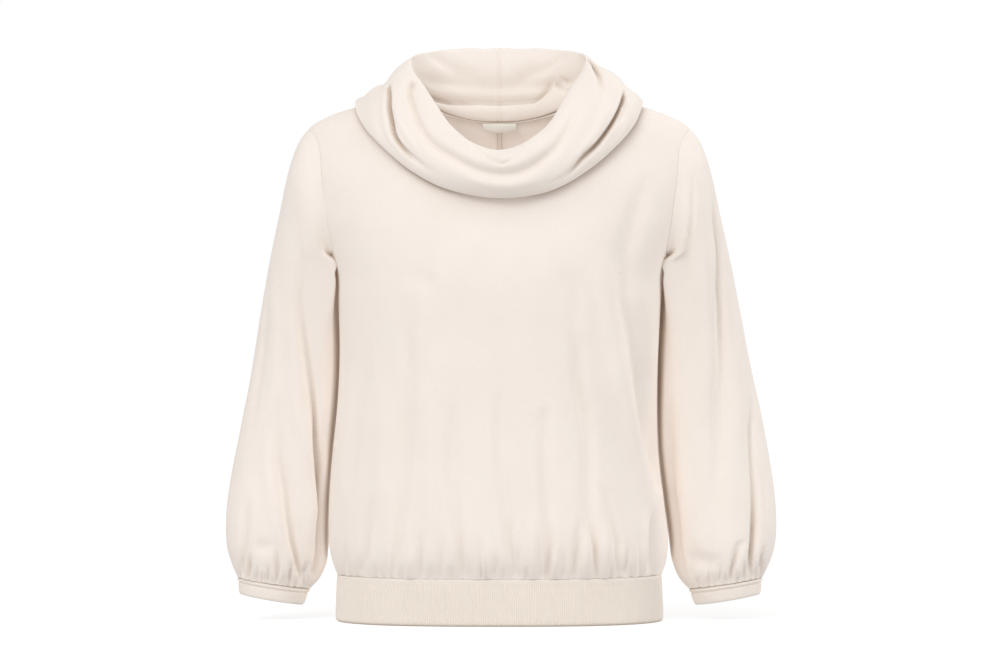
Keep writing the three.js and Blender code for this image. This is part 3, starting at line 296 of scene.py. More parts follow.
# Folds of the hidden back: across from the -X side seam (-1) to the other (1) at top and foot.
BACK_FOLDS = table("top foot acrossTop acrossFoot width out", [
    (-240, -522, -0.66, -0.88, 20, -6),
    (-230, -522, -0.5, -0.76, 20, 3),
    (-330, -522, -0.48, -0.54, 14, -3),
    (-390, -522, -0.3, -0.33, 11, 3.5),
    (-350, -522, -0.16, -0.15, 12, -5),
    (-400, -522, 0.1, 0.13, 10, -4.5),
    (-340, -522, 0.32, 0.38, 13, 3.5),
    (-300, -522, 0.5, 0.61, 15, -3.5),
    (-250, -522, 0.7, 0.86, 20, -5),
    (-120, -260, 0.5, 0.3, 26, -2.5),
    (-120, -250, -0.52, -0.34, 24, -2.5),
    (-150, -210, 0.1, 0.05, 40, 1.5),
])

rng = np.random.default_rng(4265)


# ------------------------------------------------------------------ helpers
def reader(t, along, key):
    """Smooth value of a column at a place along the table (cubic, with slopes from the neighbours)."""
    xs, ys = t[along], t[key]
    k = np.arange(len(xs))
    lo, hi = np.maximum(k - 1, 0), np.minimum(k + 1, len(xs) - 1)
    slope = (ys[hi] - ys[lo]) / (xs[hi] - xs[lo])

    def at(x):
        x = np.clip(x, xs[0], xs[-1])
        i = np.clip(np.searchsorted(xs, x, side="left") - 1, 0, len(xs) - 2)
        h = xs[i + 1] - xs[i]
        u = (x - xs[i]) / h
        u2, u3 = u * u, u * u * u
        return (ys[i] * (2 * u3 - 3 * u2 + 1) + ys[i + 1] * (3 * u2 - 2 * u3)
                + h * slope[i] * (u3 - 2 * u2 + u) + h * slope[i + 1] * (u3 - u2))

    return at


def ease(t):
    c = np.clip(t, 0, 1)
    return c * c * (3 - 2 * c)


def bell(d):
    return np.exp(-np.minimum(d * d, 40))


def unit(v):
    return v / np.maximum(np.linalg.norm(v, axis=-1, keepdims=True), 1e-12)


def mix(a, b, t):
    return a + (b - a) * t


body_of = {k: reader(BODY, "z", k) for k in ("left", "right", "front", "back", "power")}


def half_width(z, side):
    return np.where(np.asarray(side) < 0, body_of["left"](z), body_of["right"](z))


def depth(z, face):
    return np.where(np.asarray(face) < 0, body_of["front"](z), body_of["back"](z))


def body_point(across, z, face):
    across, z = np.broadcast_arrays(np.asarray(across, float), np.asarray(z, float))
    a, n = across * math.pi / 2, body_of["power"](z)
    s, c = np.abs(np.sin(a)), np.abs(np.cos(a))
    r = np.power(np.power(s, n) + np.power(c, n), -1 / n)
    return np.stack([np.sign(across) * half_width(z, across) * r * s, face * depth(z, face) * r * c, z], -1)


def bisect(test, lo, hi, shape):
    lo, hi = np.full(shape, float(lo)), np.full(shape, float(hi))
    for _ in range(40):
        mid = (lo + hi) / 2
        up = test(mid)
        lo, hi = np.where(up, mid, lo), np.where(up, hi, mid)
    return (lo + hi) / 2


def plan(across, z):
    """A point of the body as [width, height]."""
    return np.stack([across * half_width(z, across), z * np.ones_like(across)], -1)


def armhole_seam(k, side, face):
    a = math.pi * (1 - k)
    z = (UNDERARM_Z + SHOULDER_Z) / 2 + (SHOULDER_Z - UNDERARM_Z) / 2 * np.cos(a)
    y = (ARM_FRONT if face < 0 else ARM_BACK) * np.sin(a) * (1 - ARM_EGG * np.cos(a))
    across = bisect(lambda m: np.abs(body_point(m, z, face)[..., 1]) > np.abs(y), 0, 1, k.shape)
    return plan(side * across, z)


def neck_seam(k, side, face):
    a = k * math.pi / 2
    z = (NECK_FRONT_Z if face < 0 else NECK_BACK_Z) * np.power(np.sin(a), 1.25 if face < 0 else 1.6)
    x = NECK_HALF * np.cos(a)
    across = bisect(lambda m: body_point(m, z, face)[..., 0] < x, 0, 1, k.shape)
    return plan(side * across, z)


def on_body(w, z, face):
    return body_point(np.clip(w / half_width(z, w), -1, 1), z, face)


def body_level(x, y, z):
    n = body_of["power"](z)
    return (np.power(np.abs(x) / half_width(z, x), n) + np.power(np.abs(y) / depth(z, y), n))


def out_of_body(p):
    """Direction out of the body at points on it."""
    x, y, z, e = p[..., 0], p[..., 1], p[..., 2], 0.5
    g = np.stack([
        body_level(x + e, y, z) - body_level(x - e, y, z),
        np.where(np.abs(y) < 2, 0, body_level(x, y + e, z) - body_level(x, y - e, z)),
        body_level(x, y, np.minimum(z + e, 0)) - body_level(x, y, z - e),
    ], -1)
    return unit(g)


def off_body(p):
    """How far points are outside the body, and the way out."""
    x, y, z, e = p[..., 0], p[..., 1], np.minimum(p[..., 2], -0.6), 0.5

    def at(x, y, h):
        return np.power(body_level(x, y, h), 1 / body_of["power"](h))

    f = at(x, y, z)
    g = np.stack([at(x + e, y, z) - at(x - e, y, z), at(x, y + e, z) - at(x, y - e, z),
                  at(x, y, z + e) - at(x, y, z - e)], -1) / (2 * e)
    steep = np.linalg.norm(g, axis=-1)
    return (f - 1) / steep + np.maximum(0, p[..., 2] - z) * 0.9, g / steep[..., None]


def clear_of_body(p, gap):
    p = p.copy()
    for _ in range(12):
        away, out = off_body(p)
        push = np.where(away < gap, np.minimum(4, gap - away + 0.2), 0)
        p += out * push[..., None]
    return p


def body_side(y, z, side):
    """Half width of the body at a depth, 0 where it is out of reach."""
    d, n = depth(z, y), body_of["power"](z)
    inside = np.clip(1 - np.power(np.minimum(np.abs(y) / d, 1), n), 0, 1)
    return half_width(z, side) * np.power(inside, 1 / n)


def seen(p):
    """x and z of points as they fall, seen by the camera, on the upright plane through the neck."""
    k = EYE / (EYE + p[..., 1])
    return np.stack([(p[..., 0] - EYE_X) * k + EYE_X, (p[..., 2] - EYE_Z) * k + EYE_Z], -1)


def nearest_seen(where, y, x, z):
    """The point seen at a place: of those within 2 mm of it, the one nearest to the camera."""
    d = (where[:, 0] - x) ** 2 + (where[:, 1] - z) ** 2
    near = np.nonzero(d < 4)[0]
    return near[np.argmin(y[near] + 0.01 * d[near])] if len(near) else np.argmin(d)


def fuller(height):
    """Deepens the slight folds more than the strong ones."""
    return height * (1 + 0.8 * np.exp(-np.abs(height) / 3.5))


def crease_field(q, lines, wrap=None):
    """Height at places q (..., 2) from creases, each a list of (place, place, half width, out)."""
    total = np.zeros(q.shape[:-1])
    for line in lines:
        c = np.array(line, float)
        fine = [c[0]]
        for a, b in zip(c[:-1], c[1:]):
            n = max(2, int(math.hypot(b[0] - a[0], b[1] - a[1]) / 1.5))
            fine += [a + (b - a) * k / n for k in range(1, n + 1)]
        fine = np.array(fine)
        if len(c) > 2:  # round the corners of the line
            kern = np.hanning(9)[1:-1]
            kern /= kern.sum()
            pad = np.pad(fine, ((3, 3), (0, 0)), mode="edge")
            fine = np.stack([np.convolve(pad[:, i], kern, mode="valid") for i in range(fine.shape[1])], -1)
        reach = 3.2 * fine[:, 2].max()
        lo, hi = fine[:, :2].min(0) - reach, fine[:, :2].max(0) + reach
        for shift in ([0.0] if wrap is None else [-wrap, 0.0, wrap]):
            near = ((q[..., 0] + shift > lo[0]) & (q[..., 0] + shift < hi[0])
                    & (q[..., 1] > lo[1]) & (q[..., 1] < hi[1]))
            if not near.any():
                continue
            p = q[near] + [shift, 0.0]
            best = np.full(len(p), 1e9)
            which = np.zeros(len(p), int)
            for k, f in enumerate(fine):
                d = (p[:, 0] - f[0]) ** 2 + (p[:, 1] - f[1]) ** 2
                closer = d < best
                best[closer] = d[closer]
                which[closer] = k
            # from the nearest of the points to the nearest place on the line
            way = fine[np.minimum(which + 1, len(fine) - 1), :2] - fine[np.maximum(which - 1, 0), :2]
            step = np.linalg.norm(way, axis=1) / 2
            way = unit(way)
            on = ((p - fine[which, :2]) * way).sum(1)
            on = np.clip(on, np.where(which == 0, 0, -step), np.where(which == len(fine) - 1, 0, step))
            away = np.linalg.norm(p - fine[which, :2] - way * on[:, None], axis=1)
            place = which + on / np.maximum(step, 1e-6) * 0.999
            half = np.interp(place, np.arange(len(fine)), fine[:, 2])
            total[near] += np.interp(place, np.arange(len(fine)), fine[:, 3]) * bell(away / half)
    return total


def blur(values, size, loop):
    """Moves a grid of points towards the mean of its neighbours, size times."""
    v = values.copy()
    for _ in range(size):
        side = (np.roll(v, 1, 1) + np.roll(v, -1, 1)) / 2 if loop else v
        up = v.copy()
        up[1:-1] = (v[2:] + v[:-2]) / 2
        v[1:-1] = v[1:-1] * 0.4 + up[1:-1] * 0.35 + side[1:-1] * 0.25
    return v


def grid_normals(p, loop):
    if loop:
        du = np.roll(p, -1, 1) - np.roll(p, 1, 1)
    else:
        du = np.gradient(p, axis=1)
    dv = np.gradient(p, axis=0)
    return unit(np.cross(du, dv))


def ripple(q, seed, size, long):
    """Soft uneven waviness of cloth, about 1 high, longer upwards than across."""
    r = np.random.default_rng(seed)
    total = np.zeros(q.shape[:-1])
    for _ in range(14):
        a = r.uniform(-0.5, 0.5)
        w = size * r.uniform(0.6, 1.6)
        u = q[..., 0] * math.cos(a) + q[..., 1] * math.sin(a) / long
        v = -q[..., 0] * math.sin(a) + q[..., 1] * math.cos(a)
        total += np.sin(2 * math.pi * u / w + r.uniform(0, 7)) * np.cos(
            2 * math.pi * v / (w * long) + r.uniform(0, 7))
    return total / 3.7


# ------------------------------------------------------------------ meshes
made = {}


def make(name, points, normals, thick, material, uv, loop=False, node=None, rows=(), columns=()):
    """A closed shell from a grid of outer points, with rounded edges. uv is in metres of flat cloth, with
    one more column than the grid on a loop. Rows and columns named are folded sharply."""
    nv, nu = points.shape[:2]
    inner = points - normals * (thick if np.isscalar(thick) else thick[..., None])
    t = np.arange(nv * nu).reshape(nv, nu)
    m = nv * nu
    jj, ii = np.meshgrid(np.arange(nv - 1), np.arange(nu if loop else nu - 1), indexing="ij")
    nx = (ii + 1) % nu
    quads = np.stack([t[jj, ii], t[jj, nx], t[jj + 1, nx], t[jj + 1, ii]], -1).reshape(-1, 4)
    un = nu + 1 if loop else nu
    s = np.arange(nv * un).reshape(nv, un)
    uq = np.stack([s[jj, ii], s[jj, ii + 1], s[jj + 1, ii + 1], s[jj + 1, ii]], -1).reshape(-1, 4)
    faces, uvs = [quads, quads[:, ::-1] + m], [uq, uq[:, ::-1]]
    rings = []
    if loop:
        idx = np.arange(nu)
        rings.append((np.zeros(nu, int), idx, idx))
        rings.append((np.full(nu, nv - 1), (-idx) % nu, nu - idx))
    else:
        i, j = np.arange(nu), np.arange(nv)
        jr = np.concatenate([np.zeros(nu - 1, int), j[:-1], np.full(nu - 1, nv - 1), j[:0:-1]])
        ir = np.concatenate([i[:-1], np.full(nv - 1, nu - 1), i[:0:-1], np.zeros(nv - 1, int)])
        rings.append((jr, ir, ir))
    verts = [points.reshape(-1, 3), inner.reshape(-1, 3)]
    count = 2 * m
    for jr, ir, ur in rings:
        k = len(jr)
        jin = np.clip(jr, 1, nv - 2)
        iin = ir if loop else np.clip(ir, 1, nu - 2)
        away = unit(points[jr, ir] - points[jin, iin])
        th = thick if np.isscalar(thick) else thick[jr, ir][:, None]
        middle = (points[jr, ir] + inner[jr, ir]) / 2 + away * th * 0.42
        verts.append(middle)
        nxt = (np.arange(k) + 1) % k
        o, mid, inn = t[jr, ir], count + np.arange(k), t[jr, ir] + m
        if loop:  # the last face of the ring closes at the far end of the uv
            ua = s[jr, ur]
            ub = s[jr, np.where(jr == 0, ur + 1, ur - 1)]
        else:
            ua, ub = s[jr, ur], s[jr[nxt], ur[nxt]]
        faces.append(np.stack([o[nxt], o, mid, mid[nxt]], -1))
        faces.append(np.stack([mid[nxt], mid, inn, inn[nxt]], -1))
        uvs += [np.stack([ub, ua, ua, ub], -1)] * 2
        count += k
    verts, faces, uvs = np.concatenate(verts), np.concatenate(faces), np.concatenate(uvs)
    a, b, c, d = (verts[faces[:, k]] for k in range(4))
    volume = (np.einsum("ij,ij->i", a, np.cross(b, c)) + np.einsum("ij,ij->i", a, np.cross(c, d))).sum()
    if volume < 0:
        faces, uvs = faces[:, ::-1], uvs[:, ::-1]
    mesh = bpy.data.meshes.new(name)
    mesh.vertices.add(len(verts))
    mesh.vertices.foreach_set("co", (verts * 0.001).astype(np.float32).ravel())
    mesh.loops.add(faces.size)
    mesh.loops.foreach_set("vertex_index", faces.astype(np.int32).ravel())
    mesh.polygons.add(len(faces))
    mesh.polygons.foreach_set("loop_start", np.arange(0, faces.size, 4, dtype=np.int32))
    mesh.polygons.foreach_set("loop_total", np.full(len(faces), 4, np.int32))
    mesh.polygons.foreach_set("use_smooth", np.ones(len(faces), bool))
    layer = mesh.uv_layers.new(name="cloth")
    flat = uv.reshape(-1, 2)[uvs.ravel()] * 0.001
    layer.data.foreach_set("uv", flat.astype(np.float32).ravel())
    mesh.update(calc_edges=True)
    mesh.validate()
    folded = np.zeros(len(verts), bool)
    for j in rows:
        folded[t[j]] = True
    for i in columns:
        folded[t[:, i]] = True
    ends = np.zeros(len(mesh.edges) * 2, np.int32)
    mesh.edges.foreach_get("vertices", ends)
    sharp = folded[ends.reshape(-1, 2)].all(1)
    mesh.attributes.new("sharp_edge", "BOOLEAN", "EDGE").data.foreach_set("value", sharp)
    o = bpy.data.objects.new(name, mesh)
    bpy.context.scene.collection.objects.link(o)
    mesh.materials.append(material)
    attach(o, "root")
    if node:
        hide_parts(node)
    area = (np.linalg.norm(np.cross(b - a, c - a), axis=1) + np.linalg.norm(np.cross(c - a, d - a), axis=1)).sum() / 4
    made[name] = o
    # what shows of the cloth, measured along it between its sewn edges
    seen_part = points[rows[0] if rows else 0:rows[1] + 1 if len(rows) > 1 else None]
    if columns:
        seen_part = seen_part[:, columns[0]:columns[1] + 1]
    if loop:
        seen_part = np.concatenate([seen_part, seen_part[:, :1]], 1)
    round_it = np.linalg.norm(np.diff(seen_part, axis=1), axis=-1).sum(1)
    down_it = np.linalg.norm(np.diff(seen_part, axis=0), axis=-1).sum(0)
    e, f = seen_part[1:, 1:] - seen_part[:-1, :-1], seen_part[1:, :-1] - seen_part[:-1, 1:]
    shows = np.linalg.norm(np.cross(e, f), axis=-1).sum() / 2
    laid = uv[rows[0] if rows else 0:rows[1] + 1 if len(rows) > 1 else None]
    laid = np.ptp((laid[:, columns[0]:columns[1] + 1] if columns else laid).reshape(-1, 2), axis=0)
    print(f"{name}: {2 * len(faces)} triangles, {area * 1e-6:.4f} m2 of cloth with its turnings; shows "
          f"{round_it.max():.0f} mm widest ({np.median(round_it):.0f} median) by {down_it.max():.0f} mm longest "
          f"({np.median(down_it):.0f} median), {shows * 1e-6:.4f} m2; laid out {laid[0]:.0f} by {laid[1]:.0f} mm")
    return o


# ------------------------------------------------------------------ materials
class Nodes:
    """Short hand for building a material's nodes."""

    def __init__(self, name):
        self.mat = bpy.data.materials.new(name)
        self.mat.use_nodes = True
        self.tree = self.mat.node_tree
        self.shader = next(n for n in self.tree.nodes if n.type == "BSDF_PRINCIPLED")
        self.made = 0

    def node(self, kind, **settings):
        n = self.tree.nodes.new(kind)
        n.location = (-200 * (self.made % 9) - 300, -220 * (self.made // 9))
        self.made += 1
        for k, v in settings.items():
            setattr(n, k, v)
        return n

    def put(self, socket, value):
        if isinstance(value, bpy.types.NodeSocket):
            self.tree.links.new(value, socket)
        else:
            socket.default_value = value

    def math(self, op, a, b=0.0, c=0.0):
        n = self.node("ShaderNodeMath", operation=op)
        for s, v in zip(n.inputs, (a, b, c)):
            self.put(s, v)
        return n.outputs[0]

    def noise(self, where, scale, detail=3.0, rough=0.55):
        n = self.node("ShaderNodeTexNoise")
        self.put(n.inputs["Vector"], where)
        self.put(n.inputs["Scale"], scale)
        self.put(n.inputs["Detail"], detail)
        self.put(n.inputs["Roughness"], rough)
        return n.outputs["Fac"]

    def between(self, value, lo, hi, to_lo, to_hi):
        n = self.node("ShaderNodeMapRange")
        for k, v in zip(("Value", "From Min", "From Max", "To Min", "To Max"), (value, lo, hi, to_lo, to_hi)):
            self.put(n.inputs[k], v)
        return n.outputs["Result"]

    def blend(self, fac, a, b):
        n = self.node("ShaderNodeMix", data_type="RGBA")
        self.put(n.inputs[0], fac)
        for s, v in zip([i for i in n.inputs if i.type == "RGBA"], (a, b)):
            self.put(s, v if isinstance(v, bpy.types.NodeSocket) else (*v, 1.0))
        return next(s for s in n.outputs if s.type == "RGBA")


def stitches(n, u, v, wale, course, slant=0.8):
    """Height of plain knit: columns of little V shapes."""
    across = n.math("FRACT", n.math("DIVIDE", u, wale))
    a = n.math("MULTIPLY", n.math("ABSOLUTE", n.math("SUBTRACT", across, 0.5)), 2.0)
    row = n.math("ADD", n.math("DIVIDE", v, course), n.math("MULTIPLY", a, slant))
    leg = n.math("ADD", n.math("MULTIPLY", n.math("COSINE", n.math("MULTIPLY", row, 2 * math.pi)), 0.5), 0.5)
    column = n.math("SUBTRACT", 1.0, n.math("POWER", a, 3.0))
    middle = n.math("MULTIPLY", n.math("POWER", n.math("SUBTRACT", 1.0, a), 4.0), 0.35)
    return n.math("MULTIPLY", n.math("SUBTRACT", column, middle), n.math("ADD", n.math("MULTIPLY", leg, 0.6), 0.4))


def knit_material(name, light, dark, wale, course, height, strength, sheen, reach=0.009):
    n = Nodes(name)
    coords = n.node("ShaderNodeTexCoord")
    uv = n.node("ShaderNodeSeparateXYZ")
    n.tree.links.new(coords.outputs["UV"], uv.inputs[0])
    where = coords.outputs["Object"]
    wander = n.math("MULTIPLY", n.math("SUBTRACT", n.noise(where, 60.0, 2.0), 0.5), 0.0009)
    u = n.math("ADD", uv.outputs[0], wander)
    v = n.math("ADD", uv.outputs[1], wander)
    knit = stitches(n, u, v, wale * 0.001, course * 0.001)
    fluff = n.noise(where, 2600.0, 3.0, 0.65)
    patch = n.noise(where, 14.0, 4.0, 0.6)
    yarn = n.noise(where, 420.0, 3.0, 0.6)
    # tone mixes a random tone of patches and yarn with painted shade that darkens the gaps between the stitches
    tone = n.math("ADD", n.math("MULTIPLY", patch, 0.45), n.math("MULTIPLY", yarn, 0.35))
    tone = n.math("ADD", tone, n.math("MULTIPLY", n.math("SUBTRACT", 1.0, knit), 0.28))
    colour = n.blend(n.between(tone, 0.28, 0.82, 0.0, 1.0), light, dark)
    # painted shade: the colour darkens towards a deep warm brown in deep creases and along the lines where two layers
    # meet, by how closed in each point is within reach
    closed = n.node("ShaderNodeAmbientOcclusion", samples=6)
    closed.inputs["Distance"].default_value = reach
    # deep is the colour of that painted shade
    deep = tuple(c * k for c, k in zip(dark, (0.56, 0.47, 0.39)))
    colour = n.blend(n.between(closed.outputs["AO"], 0.12, 0.85, 0.0, 1.0), deep, colour)
    n.put(n.shader.inputs["Base Color"], colour)
    rough = n.between(n.math("ADD", n.math("MULTIPLY", yarn, 0.5), n.math("MULTIPLY", fluff, 0.5)), 0.3, 0.7, 0.82, 0.96)
    n.put(n.shader.inputs["Roughness"], rough)
    bump = n.node("ShaderNodeBump")
    full = n.math("ADD", knit, n.math("MULTIPLY", fluff, 0.35))
    n.put(bump.inputs["Height"], full)
    n.put(bump.inputs["Strength"], strength)
    n.put(bump.inputs["Distance"], height * 0.001)
    n.put(n.shader.inputs["Normal"], bump.outputs["Normal"])
    n.shader.inputs["Sheen Weight"].default_value = sheen
    n.shader.inputs["Sheen Roughness"].default_value = 0.45
    n.shader.inputs["Sheen Tint"].default_value = (1.0, 0.97, 0.93, 1.0)
    n.shader.inputs["Specular IOR Level"].default_value = 0.18
    return n.mat


def woven_material(name, light, dark):
    n = Nodes(name)
    coords = n.node("ShaderNodeTexCoord")
    uv = n.node("ShaderNodeSeparateXYZ")
    n.tree.links.new(coords.outputs["UV"], uv.inputs[0])
    warp = n.math("SINE", n.math("MULTIPLY", uv.outputs[0], 2 * math.pi / 0.00042))
    weft = n.math("SINE", n.math("MULTIPLY", uv.outputs[1], 2 * math.pi / 0.00055))
    weave = n.math("ADD", n.math("MULTIPLY", n.math("MULTIPLY", warp, weft), 0.5), 0.5)
    spots = n.noise(coords.outputs["Object"], 900.0, 3.0)
    tone = n.math("ADD", n.math("MULTIPLY", weave, 0.5), n.math("MULTIPLY", spots, 0.5))
    n.put(n.shader.inputs["Base Color"], n.blend(tone, dark, light))
    n.put(n.shader.inputs["Roughness"], n.between(spots, 0.3, 0.7, 0.42, 0.6))
    bump = n.node("ShaderNodeBump")
    n.put(bump.inputs["Height"], weave)
    n.put(bump.inputs["Strength"], 0.4)
    n.put(bump.inputs["Distance"], 0.00008)
    n.put(n.shader.inputs["Normal"], bump.outputs["Normal"])
    n.shader.inputs["Sheen Weight"].default_value = 0.1
    n.shader.inputs["Specular IOR Level"].default_value = 0.4
    return n.mat


# each knit's colour carries the painted shade of creases and meeting layers; the rib's last figure is how far that
# shade reaches
KNIT = knit_material("fine_knit", (0.835, 0.767, 0.714), (0.765, 0.692, 0.628), WALE, COURSE, 0.16, 0.35, 0.25)
BAND = knit_material("cuff_band", (0.825, 0.753, 0.692), (0.75, 0.677, 0.608), WALE, COURSE, 0.16, 0.35, 0.22)
RIBBED = knit_material("rib_knit", (0.825, 0.756, 0.688), (0.745, 0.672, 0.598), RIB_PITCH / 2, 1.5, 0.2, 0.4, 0.22, 0.004)
TAPE = woven_material("label_tape", (0.77, 0.745, 0.685), (0.66, 0.635, 0.57))


# ------------------------------------------------------------------ length of cloth round and up the body
_across = np.linspace(-1, 1, 401)
_heights = np.linspace(HEM_SEAM_Z, -0.5, 120)
_round = {}
for _face in (-1, 1):
    p = body_point(_across[None, :], _heights[:, None], _face)
    d = np.linalg.norm(np.diff(p, axis=1), axis=2)
    s = np.concatenate([np.zeros((len(_heights), 1)), np.cumsum(d, 1)], 1)
    _round[_face] = s - s[:, 200:201]
_up = {}
for _face in (-1, 1):
    zz = np.linspace(HEM_SEAM_Z, -0.5, 600)
    p = body_point(0.35 * np.ones(600), zz, _face)
    _up[_face] = (zz, np.concatenate([[0], np.cumsum(np.linalg.norm(np.diff(p, axis=0), axis=1))]))


def cloth_uv(w, z, face):
    across = np.clip(w / half_width(z, w), -1, 1)
    fz = np.clip((z - _heights[0]) / (_heights[1] - _heights[0]), 0, len(_heights) - 1.001)
    fa = np.clip((across + 1) / 2 * 400, 0, 399.999)
    j, i = fz.astype(int), fa.astype(int)
    tz, ta = fz - j, fa - i
    g = _round[face]
    u = ((g[j, i] * (1 - ta) + g[j, i + 1] * ta) * (1 - tz) + (g[j + 1, i] * (1 - ta) + g[j + 1, i + 1] * ta) * tz)
    return np.stack([u, np.interp(z, *_up[face])], -1)


# ------------------------------------------------------------------ body panels
ALLOWANCE = np.array([0.9, 2.4, 5.0])  # how far the sewn edge turns in, row by row


def spread(left, right, bottom, top, rise):
    """Fills a panel between its four edges; rise is how far up the panel each row of the side edge is. The
    rows stay level up to the underarm and take the shape of the top edge above it."""
    v, u = rise[:, None], np.linspace(0, 1, len(bottom))[None, :]
    b, t = bottom[None, :, 0], top[None, :, 0]
    w = ((1 - v) * b + v * t + (1 - u) * left[:, None, 0] + u * right[:, None, 0]
         - ((1 - u) * (1 - v) * b[:, :1] + u * (1 - v) * b[:, -1:] + (1 - u) * v * t[:, :1] + u * v * t[:, -1:]))
    edge = bottom[0, 1] + rise * (SHOULDER_Z - bottom[0, 1])
    above = np.clip((edge - UNDERARM_Z) / (SHOULDER_Z - UNDERARM_Z), 0, 1) ** 2
    z = edge[:, None] + above[:, None] * (top[None, :, 1] - SHOULDER_Z)
    return np.stack([w, z], -1)


def side_edge(side, face):
    low = np.linspace(HEM_SEAM_Z + SEAM / 2, UNDERARM_Z, N_SIDE + 1)[:-1]
    low = plan(np.full(low.shape, float(side)), low)
    return np.concatenate([low, armhole_seam(np.linspace(0, 1, N_ARM + 1), side, face)])


def half_top(side, face):
    """From the shoulder point to the middle of the neckline."""
    x = np.linspace(206, NECK_HALF, N_SHOULDER + 1)[:-1]
    z = bisect(lambda m: half_width(m, 1) > x, SHOULDER_Z, 0, x.shape)
    shoulder = plan(np.full(x.shape, float(side)), z)
    return np.concatenate([shoulder, neck_seam(np.linspace(0, 1, N_NECK + 1), side, face)])


def length_from(points, axis, back=False):
    p = np.flip(points, axis) if back else points
    d = np.linalg.norm(np.diff(p, axis=axis), axis=-1)
    zero = np.zeros_like(np.take(d, [0], axis=axis))
    s = np.concatenate([zero, np.cumsum(d, axis=axis)], axis=axis)
    return np.flip(s, axis) if back else s


def hem_gathers(q, u, face):
    """Gathers of the back, along the hem seam: q is [round, height] in mm."""
    r = np.random.default_rng(77 + face)
    lines, at = [], -205.0
    while at < 206:
        at += r.uniform(9, 19)
        high = 14 + 62 * r.uniform() ** 2
        lean = r.uniform(-0.13, 0.13) * high
        deep = -r.uniform(1.2, 3.0)
        lines.append([(at, HEM_SEAM_Z, 2.2, deep * 0.75), (at + lean * 0.3, HEM_SEAM_Z + high * 0.3, 3.0, deep),
                      (at + lean, HEM_SEAM_Z + high, 5.0, 0.0)])
    return crease_field(q, lines)


def body_creases(p, w, z, face):
    across = w / half_width(z, w)
    open_sides = ease((1 - np.abs(across)) * 7)
    flat = cloth_uv(w, z, face)
    if face < 0:
        out = 1.6 * fuller(crease_field(seen(p), FRONT_CREASES)) * open_sides
    else:
        out = np.zeros(z.shape)
        for k in range(len(BACK_FOLDS["top"])):
            f = {key: v[k] for key, v in BACK_FOLDS.items()}
            t = np.clip((z - f["top"]) / (f["foot"] - f["top"]), 0, 1)
            mid = mix(f["acrossTop"], f["acrossFoot"], t) * 175
            fade = ease(t * 1.8) * (1 if f["foot"] < -500 else ease((1 - t) * 1.8))
            out += f["out"] * fade * bell((w - mid) / f["width"])
        out = 1.2 * out * open_sides
        q = np.stack([flat[..., 0], z], -1)
        out += hem_gathers(q, None, face) * ease((1 - np.abs(across)) * 14)
    out += 0.35 * ripple(flat, 31 + face, 46, 2.6) * open_sides * ease((-60 - z) / 60)
    return out


def held(lift, off_seam, least, slope):
    """Folds can't sink past the band they are sewn to: they are shallow at its seam and deepen away from it."""
    most = least + slope * off_seam
    return np.where(lift < 0, -most * np.tanh(-lift / most), lift)


def panel(name, node, face, start, end):
    half_l, half_r = half_top(-1, face), half_top(1, face)
    columns = (N_SHOULDER + N_NECK) * (2 if start and end else 1)
    if start and end:
        top = np.concatenate([half_l, half_r[::-1][1:]])
    elif start:
        top = half_l
    else:
        top = half_r[::-1]
    a = np.linspace(start, end, columns + 1)
    bottom = plan(np.where(a == 0, 1e-9, a), np.full(a.shape, HEM_SEAM_Z + SEAM / 2))
    rows = N_SIDE + N_ARM
    foot = HEM_SEAM_Z + SEAM / 2
    rise = (side_edge(1, face)[:, 1] - foot) / (SHOULDER_Z - foot)
    middle = np.stack([np.zeros(rows + 1), mix(foot, SHOULDER_Z, rise)], -1)
    left = side_edge(-1, face) if start else middle
    right = side_edge(1, face) if end else middle
    wz = spread(left, right, bottom, top, rise)
    w, z = wz[..., 0], wz[..., 1]
    p = on_body(w, z, face)
    n = out_of_body(p)
    on_side = np.abs(p[..., 1]) < SEAM / 2 + 1e-6
    p[..., 1] = np.where(on_side, face * SEAM / 2, p[..., 1])
    lift = held(body_creases(p, w, z, face), length_from(p, 0), 2.2, 0.5)
    # every sewn edge dips a little into its seam
    edge = np.minimum.reduce([length_from(p, 0), length_from(p, 0, True), length_from(p, 1), length_from(p, 1, True)])
    lift -= 0.22 * bell(edge / 1.6)
    p = p + n * lift[..., None]
    if not (start and end):
        p[..., 0] = np.where(np.abs(w) < 1e-6, (start + end) * SEAM / 2, p[..., 0])
    # the edges turn in as sewn allowances
    k = len(ALLOWANCE)
    j = np.clip(np.arange(-k, rows + 1 + k), 0, rows)
    i = np.clip(np.arange(-k, columns + 1 + k), 0, columns)
    inward_j = np.concatenate([ALLOWANCE[::-1], np.zeros(rows + 1), ALLOWANCE])
    inward_i = np.concatenate([ALLOWANCE[::-1], np.zeros(columns + 1), ALLOWANCE])
    deep = np.maximum(inward_j[:, None], inward_i[None, :])
    edge_n = n.copy()
    edge_n[0, :, 2] = 0
    for c, at in ((0, start), (columns, end)):
        if at == 0:
            edge_n[:, c, 0] = 0
    side_row = np.abs(p[..., 1]) <= SEAM / 2 + 1e-6
    edge_n[..., 1] = np.where(side_row, 0, edge_n[..., 1])
    edge_n = unit(edge_n)
    p = p[j][:, i] - edge_n[j][:, i] * deep[..., None]
    wn = grid_normals(p, False)
    if (wn[k:-k, k:-k] * n).sum() < 0:
        wn = -wn
    # neighbours share the direction of their walls along a seam
    uv = cloth_uv(w, z, face)[j][:, i]
    uv[..., 1] += 0.3 * deep
    return make(name, p, wn, CLOTH, KNIT, uv, node=node, rows=(k, -k - 1), columns=(k, -k - 1))


# ------------------------------------------------------------------ sleeves and cuffs
def armhole_loop(side):
    k = np.arange(N_ARM + 1) / N_ARM
    parts = []
    for face, kk in ((-1, k), (1, k[::-1][1:-1])):
        wz = armhole_seam(kk, side, face)
        parts.append(on_body(wz[:, 0], wz[:, 1], face))
    return np.concatenate(parts)


